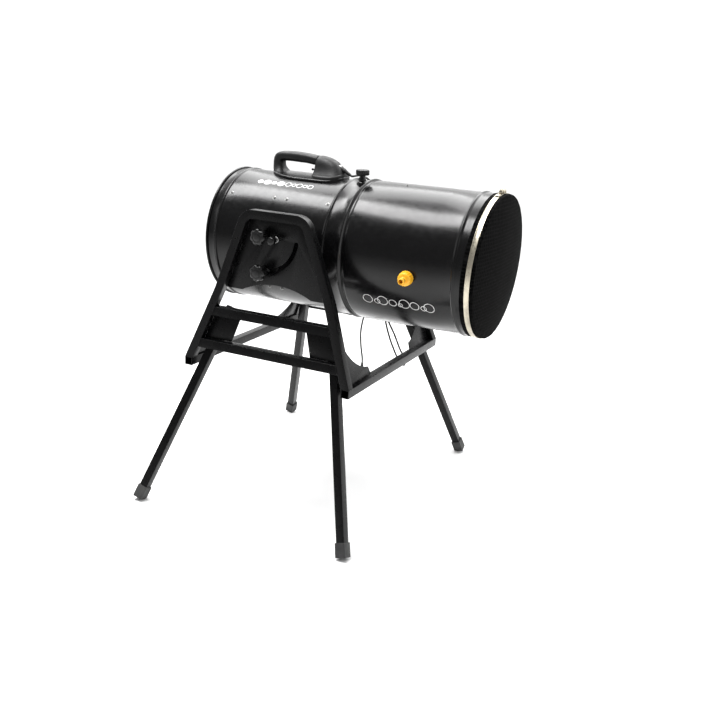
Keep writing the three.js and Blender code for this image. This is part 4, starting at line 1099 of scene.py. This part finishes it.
def build_worm():
    bm = bmesh.new()
    place = outwards(WORM_X, WORM_Z)
    profile = [(-11, 0), (-11, 3.0)]
    for k in range(9):
        x = -10 + 2.4 * k
        profile += [(x, 3.0), (x + 0.7, 3.65), (x + 1.2, 3.65), (x + 1.9, 3.0)]
    profile += [(12.2, 3.0), (12.2, 0)]
    lathe(bm, profile, place, 24)
    lathe(bm, [(12.2, 0), (12.2, 5.0), (12.8, 5.6), (17.2, 5.6), (17.9, 5.0), (18, 0)], place, 6)
    # a dark strip across the head: painted shade in place of the screwdriver slot
    box(bm, (17.95, -4.2, -0.7), (18.1, 4.2, 0.7), place, 1)
    piece("clamp_worm", bm, ["zinc", "recess"], "worm_screw", ["clamp_worm_screw"], sharp=30)


build_worm()


# ---------------------------------------------------------------- water inlet

CONNECTOR_X, CONNECTOR_ANGLE = 371.0, 96.0


def build_connector():
    place = around(CONNECTOR_ANGLE, CONNECTOR_X, CHAMBER_R + 0.3)
    bm = bmesh.new()
    collar = [(1.2, 17.0, 0), (1.4, 19.0, 0.2), (2.6, 20.2, 1.2), (5, 20.4, 1.5), (18, 19.4, 1.5)]
    collar += [(20.4, 18.8, 0.9), (22, 17.4, 0.2), (23.4, 15.2, 0)]
    lobed(bm, place, collar, 144, flutes(18, 2))
    lathe(bm, [(-0.6, 5.6), (-0.6, 15.5), (1.2, 16.2), (1.2, 17.0)], place, 144)
    # click nipple with its grooves, a rubber ring and a real bore
    nipple = [(23.4, 15.2), (24.2, 13.6), (24.4, 9.6), (26, 9.4), (30.2, 9.4), (31, 8.8), (31.6, 7.9)]
    nipple += [(34.0, 7.9), (34.8, 8.8), (35.2, 9.4), (37, 9.4), (37.6, 8.9), (38.4, 8.9), (39.0, 9.2)]
    nipple += [(41.2, 8.8), (42, 8.0), (42, 6.4), (41.4, 5.6), (-0.6, 5.6)]
    lathe(bm, nipple, place, 144)
    piece("hose_connector_body", bm, "orange", "chamber", ["hose_connector"], sharp=40)
    bm = bmesh.new()
    tube(bm, [on_circle(place, 32.8, 8.2, t) for t in turns(48)], 1.15, 10, closed=True)
    lathe(bm, [(-0.8, 15), (-0.8, 19.6), (0.9, 19.6), (1.1, 19.2), (1.1, 15)], place, 64)
    piece("connector_rings", bm, "rubber", "chamber", sharp=40)


build_connector()


def build_feed():
    place = around(CONNECTOR_ANGLE, CONNECTOR_X)
    line = [place @ Vector((r, 0, 0)) for r in (CHAMBER_R - 0.6, 170, 130, 90, 60, 40, 30)]
    for t in (0.15, 0.3, 0.45, 0.6, 0.75, 0.9):
        line.append(place @ Vector((30 * (1 - t) ** 2, 0, 0)) + Vector((30 * t * t, 0, 0)))
    line += [Vector((CONNECTOR_X + x, 0, AXIS_Z)) for x in (30, 45, 60, 69)]
    bm = bmesh.new()
    tube(bm, line, 6.0, 24)
    seat = CHAMBER_R - 1.8
    lathe(bm, [(seat - 7, 6.0), (seat - 7, 12), (seat, 12), (seat, 6)], place, 6)
    piece("feed_pipe_tube", bm, "steel", "chamber", ["feed_pipe"], sharp=40)
    bm = bmesh.new()
    nozzle = ON_DRUM @ Matrix.Translation((440.3, 0, 0))
    profile = [(0, 0), (0, 13), (1, 14), (9, 14), (10, 12.5), (12, 12.5), (18, 18), (28, 29), (29, 30)]
    profile += [(35, 30), (35.7, 29.2), (35.7, 24), (34, 22), (34, 9), (35.4, 8), (35.4, 0)]
    lathe(bm, profile, nozzle, 64)
    # small dark discs on the face: painted shade in place of the spray holes
    for ring_r, count in ((13, 8), (19, 14)):
        for t in turns(count):
            spot = Matrix.Translation(on_circle(nozzle, 34, ring_r, -t))
            lathe(bm, [(0, 1.3), (0.15, 1.3), (0.15, 0)], spot, 10, material=1)
    for k in range(6):
        box(bm, (1, -1.6, 13), (9, 1.6, 15.2), turned_about(60 * k, nozzle))
    piece("spray_nozzle_head", bm, ["dark_plastic", "recess"], "chamber", ["spray_nozzle"], sharp=35)


build_feed()


# ---------------------------------------------------------------- tilt mechanism

PIVOT_X, PIVOT_Z, SLOT_R = -40.0, 810.0, 101.0
STUD_Z = PIVOT_Z - SLOT_R
KNOB_BACK = 259.0


def build_knob(name, node, z, far, turn):
    place = outwards(PIVOT_X, z, far)
    bm = bmesh.new()
    back = KNOB_BACK
    neck = [(back, 6.2), (back, 12.2), (back + 0.8, 13), (back + 9, 13), (back + 10, 12.2)]
    neck += [(back + 24, 12.6), (back + 26, 14)]
    lathe(bm, neck, place, 112)
    star = [(285, 14, 0), (285.3, 19.5, 0.9), (286.6, 22.0, 2.4), (289, 23.4, 3.4), (293, 23.9, 3.7)]
    star += [(298, 23.7, 3.6), (301, 22.6, 2.9), (303, 20.0, 1.7), (303.9, 16.5, 0.5), (304, 13.0, 0)]
    lobed(bm, place, star, 112, lambda t: 1.25 * (0.5 - 0.5 * math.cos(7 * t + turn)) ** 1.6)
    face = [(304, 13.0), (303.2, 12.6), (303.2, 11.6), (304.2, 11.2), (304.8, 9.5), (305.2, 5), (305.3, 0)]
    lathe(bm, face, place, 112)
    piece(name, bm, "gloss_plastic", node, [node], sharp=45)


def build_bolt(node, z, far):
    place = outwards(PIVOT_X, z, far)
    bm = bmesh.new()
    lathe(bm, [(237.5, 0), (237.5, 8.4), (238.6, 9.9), (245.7, 9.9), (245.7, 6)], place, 6)
    profile = [(245.7, 6)]
    for k in range(30):
        u = 246 + 1.5 * k
        profile += [(u, 5.95), (u + 0.75, 5.45)]
    profile += [(291.5, 5.4), (291.5, 0)]
    lathe(bm, profile, place, 24)
    lathe(bm, [(250.4, 6.1), (250.4, 12), (251.8, 12), (251.8, 6.1)], place, 32)
    piece(node + "_thread", bm, "steel", "drum", [node], sharp=40)


for side, far in (("near", False), ("far", True)):
    build_knob(side + "_pivot_knob_star", side + "_pivot_knob", PIVOT_Z, far, 0.4)
    build_knob(side + "_clamp_knob_star", side + "_clamp_knob", STUD_Z, far, 2.1)
    build_bolt(side + "_pivot_bolt", PIVOT_Z, far)
    build_bolt(side + "_clamp_stud", STUD_Z, far)
    refined(side + "_tilt_bracket", "frame", bevel=(1.2, 3, 40))

plunger_x = PIVOT_X + 40 * math.cos(math.radians(-10))
plunger_z = PIVOT_Z + 40 * math.sin(math.radians(-10))


def build_plunger():
    """Sleeve and pull knob, drawn outwards from the sleeve's seat."""
    place = outwards(plunger_x, plunger_z) @ Matrix.Translation((258.0, 0, 0))
    bm = bmesh.new()
    lathe(bm, [(0.3, 3.4), (0.3, 9.2), (1.0, 9.5), (8.5, 9.5), (9.2, 8.8), (9.2, 6)], place, 6)
    sleeve = [(-2.9, 3.4), (-2.9, 5.8), (12, 5.8), (12, 7.4), (14.6, 7.4), (15, 7.0), (15, 3.4)]
    lathe(bm, sleeve, place, 40)
    piece("plunger_body", bm, "steel", "stand", ["plunger_sleeve"], sharp=35)
    bm = bmesh.new()
    lathe(bm, [(-7, 0), (-7, 2.4), (-6.2, 3.0), (16, 3.0)], place, 28)
    grip = [(16, 3.0, 0), (16, 7.6, 0), (16.8, 8.3, 0), (21, 8.5, 0), (23, 10.0, 0.2), (25, 11.2, 0.6)]
    grip += [(34, 11.4, 0.7), (36.6, 10.9, 0.4), (38.3, 9.4, 0)]
    lobed(bm, place, grip, 96, flutes(16, 2))
    lathe(bm, [(38.3, 9.4), (39, 7.5), (39.1, 5.2), (38.6, 4.9), (38.6, 0)], place, 96)
    piece("plunger_pull_knob", bm, "gloss_plastic", "plunger", ["plunger_knob"], sharp=45)


build_plunger()


# ---------------------------------------------------------------- stand

FRAME_FRONT, TUBE, KNEE_Z, FLARE, TAPER = 280.0, 25.0, 645.0, 0.172, 0.374
UPPER_BAR_TOP, LOWER_BAR_TOP, CROSS_TUBE_TOP = 588.0, 490.0, 430.0


def half_at(z):
    return 104 + TAPER * (880 - z)


def front_at(z):
    return FRAME_FRONT + FLARE * max(0.0, KNEE_Z - z)


for node in sorted(NODES):
    if node.endswith(("_frame_hoop", "_crossbar", "_cross_tube")):
        refined(node, "frame", bevel=(1.6, 3, 28), sharp=30)
    elif node.endswith("_leg"):
        refined(node, "frame", bevel=(1.3, 3, 40), sharp=30)
    elif node.endswith(("_pivot_plate", "_corner_plate", "_gusset")):
        refined(node, "frame", bevel=(0.5, 2, 40), sharp=30)
    elif node.endswith("_foot"):
        refined(node, "rubber", bevel=(1.5, 3, 40), sharp=40)


def weld(bm, a, b, radius=1.7, seed=0):
    """A run of weld between two points, as overlapping ripples."""
    a, b = Vector(a), Vector(b)
    count = max(3, int((b - a).length / 1.6))
    points, radii = [], []
    for k in range(count + 1):
        s = k / count
        p = a.lerp(b, s)
        wob = noise.noise(Vector((s * 9, seed, 0.3)))
        points.append(p + Vector((0.35 * wob, 0, 0.25 * wob)))
        end = 0.5 if k in (0, count) else 1
        radii.append(end * radius * (0.82 + 0.16 * math.sin(k * 2.1) + 0.12 * wob))
    tube(bm, points, radius, 8, radii=radii)


def build_welds():
    bm = bmesh.new()
    seed = 0
    for s in (-1, 1):
        for e in (-1, 1):
            # ends of the two crossbars
            for top in (UPPER_BAR_TOP, LOWER_BAR_TOP):
                for face in (0.2, 0.2 - TUBE):
                    a, b = [(e * (half_at(z) - 26.8), s * (front_at(z) + face), z)
                            for z in (top - TUBE + 1.5, top - 1.5)]
                    weld(bm, a, b, 1.6, seed)
                    seed += 1
                x, y, z = e * (half_at(top) - 27.0), s * front_at(top), top - 0.1
                weld(bm, (x, y - s * 2, z), (x, y - s * (TUBE - 2), z), 1.6, seed)
                seed += 1
            # foot of the hoop on the cross tube
            z = CROSS_TUBE_TOP + 0.2
            half, y = half_at(z), front_at(z)
            for x in (e * (half - 0.4), e * (half - 26.4)):
                weld(bm, (x, s * (y - 1.5), z), (x, s * (y - TUBE + 1.5), z), 1.7, seed)
                seed += 1
            back = s * (y - TUBE - 0.1)
            weld(bm, (e * (half - 25), back, z), (e * (half - 2), back, z), 1.6, seed)
            # gusset stitches along the cross tube
            x, z = e * (half_at(CROSS_TUBE_TOP + 0.3) - 17.2), CROSS_TUBE_TOP + 0.4
            for k in range(3):
                start = y - TUBE - 18 - 48 * k
                weld(bm, (x, s * start, z), (x, s * (start - 20), z), 1.5, seed)
                seed += 1
    # stitches round the pivot plates, on the inner corner with the hoop
    for s in (-1, 1):
        y = s * (FRAME_FRONT - TUBE + 3.1)
        for e in (-1, 1):
            for z in (690, 760, 825):
                x0, x1 = half_at(z) - 27.2, half_at(z + 18) - 27.2
                weld(bm, (e * x0, y, z), (e * x1, y, z + 18), 1.5, seed)
                seed += 1
        for x in (-50, 30):
            weld(bm, (x, y, 854.6), (x + 20, y, 854.6), 1.5, seed)
            seed += 1
    piece("stand_welds", bm, "frame", "stand", sharp=60)


build_welds()


LEG, LEG_TOP_Z, LEG_BOLT_Z = 25.0, 574.0, 526.0
LEG_KNEE, LEG_FOOT = Vector((199, 264, 478)), Vector((346, 450, 0))


def leg_places(z):
    """For each leg, a frame on its axis at height z: X across, Y outwards, Z up the leg."""
    way = (LEG_KNEE - LEG_FOOT).normalized()
    side = Vector((0, 1, 0)).cross(way).normalized()
    depth = way.cross(side).normalized()
    base = Matrix((side, depth, way)).transposed().to_4x4()
    base.translation = LEG_FOOT + way * (z / way.z)
    return [Matrix.Diagonal((e, s, 1, 1)) @ base for e in (-1, 1) for s in (-1, 1)]


def at_legs(name, material, z, draw, bevel=None):
    """One piece made of what draw puts on every leg at height z."""
    bm = bmesh.new()
    for place in leg_places(z):
        draw(bm, place)
    piece(name, bm, material, "stand", sharp=30, bevel=bevel)


def draw_bolt(bm, place):
    """A washer and a hexagon head on the leg's inner side."""
    at = place @ Matrix.Translation((0, -LEG / 2, 0)) @ Matrix.Rotation(math.radians(-90), 4, "Z")
    lathe(bm, [(-0.4, 0.1), (-0.4, 8.0), (1.0, 8.0), (1.4, 7.5), (1.4, 5.0)], at, 32)
    lathe(bm, [(1.4, 5.0), (1.4, 5.6), (4.6, 5.6), (5.4, 4.9), (5.4, 0)], at, 6)


def draw_lug(bm, place):
    """A block welded behind the corner plate, which the leg is bolted to."""
    box(bm, (-10, LEG / 2 + 0.2, -15), (10, 31, 15), place)


def draw_cap(bm, place):
    """A plastic plug in the leg's upper end."""
    box(bm, (-12.7, -12.7, 0.1), (12.7, 12.7, 3.4), place)


at_legs("leg_bolts", "steel", LEG_BOLT_Z, draw_bolt)
at_legs("leg_lugs", "frame", LEG_BOLT_Z, draw_lug, (0.8, 2, 40))
at_legs("leg_caps", "plastic", LEG_TOP_Z, draw_cap, (1.2, 3, 40))


def build_hook():
    bm = bmesh.new()
    wall = front_at(UPPER_BAR_TOP) - TUBE
    place = outwards(84, 575, far=True)
    profile = [(wall - 0.5, 0), (wall - 0.5, 18.4), (wall - 1.2, 18.8), (246.5, 18.8), (245.2, 19.6)]
    profile += [(244.4, 22.6), (243.4, 23.6), (242, 23.8), (241, 23.0), (241, 17.5), (242, 16.4)]
    profile += [(258, 16.0), (258, 0)]
    lathe(bm, profile, place, 56)
    for degrees in (0, 90):
        box(bm, (243, -1, -16.2), (258, 1, 16.2), turned_about(degrees, place))
    screw = [(256.8, 0), (256.8, 3.6), (255.8, 4.2), (255.2, 3.4), (255.2, 0)]
    lathe(bm, screw, place, 20, material=1)
    piece("cord_hook_moulding", bm, ["plastic", "steel"], "stand", ["cord_hook"], sharp=40)


build_hook()


# ---------------------------------------------------------------- printed decoration

PRINT_LIFT = 0.22


def printed_circle(bm, x, angle, radius, r, sides, squash=1.0):
    """Corners of a circle laid on a drum, squashed round the drum."""
    turn = math.radians(angle)
    points = []
    for t in turns(sides):
        a = turn + r * squash * math.sin(t) / radius
        points.append(bm.verts.new(drum_point(x + r * math.cos(t), a, radius + PRINT_LIFT)))
    return points


def ring_print(bm, x, angle, radius, r, stroke, sides=40):
    """An outlined circle printed on a drum."""
    inner = printed_circle(bm, x, angle, radius, r - stroke, sides)
    outer = printed_circle(bm, x, angle, radius, r, sides)
    for k in range(sides):
        bm.faces.new((inner[k], inner[(k + 1) % sides], outer[(k + 1) % sides], outer[k]))


def build_prints():
    bm = bmesh.new()
    x = 246.0
    for r in (15, 9, 16, 12, 7, 16, 14, 9, 16):
        ring_print(bm, x, 120.6 + (16 - r) * 0.2, CHAMBER_R, r, 1.7)
        x += 2 * r - 1.4
    piece("chamber_bubble_print", bm, "print", "chamber", sharp=60)
    bm = bmesh.new()
    x, angle = -172.0, 27.5
    # filled circles, then outlined ones
    for r in (9, 12, 8, 12):
        bm.faces.new(printed_circle(bm, x + r, angle, FAN_R, r, 36, 0.9))
        x += 2 * r + 3
    for r in (10, 7, 10, 7, 9):
        ring_print(bm, x + r, angle, FAN_R, r, 1.6)
        x += 2 * r + 1.5
    piece("drum_bubble_print", bm, "print", "drum", sharp=60)


build_prints()


# ---------------------------------------------------------------- stage and light

def build_stage():
    """A pale floor that runs well past every view, darker towards the camera's side with painted shade."""
    bm = bmesh.new()
    bmesh.ops.create_circle(bm, cap_ends=True, segments=96, radius=16000,
                            matrix=Matrix.Translation((0, 0, -0.6)))
    mat, tree, bsdf = new_material("studio_floor")
    coord = tree.nodes.new("ShaderNodeTexCoord")
    split = tree.nodes.new("ShaderNodeSeparateXYZ")
    tree.links.new(coord.outputs["Object"], split.inputs["Vector"])
    grain = noise_node(tree, 3, 3)
    # the floor darkens towards the camera's side: painted shade where the studio light falls off
    depth = spread(tree, split.outputs["Y"], 0.60, 1.0, -3.4, -1.2)
    shade = maths(tree, "MULTIPLY", depth, spread(tree, grain, 0.84, 0.86))
    tree.links.new(shade, bsdf.inputs["Base Color"])
    set_inputs(bsdf, {"Roughness": 0.9, "Specular IOR Level": 0.1})
    M["floor"] = mat
    piece("floor", bm, "floor", None)


build_stage()


def area_light(name, at, aim, width, height, radiance):
    """A softbox whose face has the given radiance."""
    data = bpy.data.lights.new(name, "AREA")
    data.shape = "RECTANGLE"
    data.size, data.size_y = width, height
    data.energy = radiance * math.pi * width * height
    obj = bpy.data.objects.new(name, data)
    bpy.context.scene.collection.objects.link(obj)
    at, aim = P(*at), P(*aim)
    obj.location = at
    obj.rotation_euler = (aim - at).to_track_quat("-Z", "Y").to_euler()


area_light("overhead", (-350, 1300, 2700), (-50, 0, 700), 3.2, 1.5, 4.5)
area_light("top_strip", (-700, -420, 2740), (-500, -60, 760), 1.9, 0.75, 19.0)
area_light("right", (3000, -300, 1300), (150, 0, 600), 1.8, 2.2, 1.6)
area_light("left", (-2900, -900, 1500), (-100, 0, 650), 1.4, 1.8, 1.2)

sky = bpy.data.objects.new("sky_fill", bpy.data.lights.new("sky_fill", "SUN"))
sky.data.energy = 1.7
sky.data.angle = math.radians(80)
sky.rotation_euler = (math.radians(-22), 0, 0)
bpy.context.scene.collection.objects.link(sky)


def build_world():
    """White behind the object, falling to grey behind the camera."""
    world = bpy.data.worlds.new("studio")
    bpy.context.scene.world = world
    world.use_nodes = True
    tree = world.node_tree
    coord = tree.nodes.new("ShaderNodeTexCoord")
    split = tree.nodes.new("ShaderNodeSeparateXYZ")
    tree.links.new(coord.outputs["Generated"], split.inputs["Vector"])
    level = spread(tree, split.outputs["Y"], 0.27, 1.6, -0.15, 0.6)
    tree.links.new(level, tree.nodes["Background"].inputs["Color"])
    tree.nodes["Background"].inputs["Strength"].default_value = 1.0


build_world()
bpy.context.scene.view_settings.view_transform = "Standard"
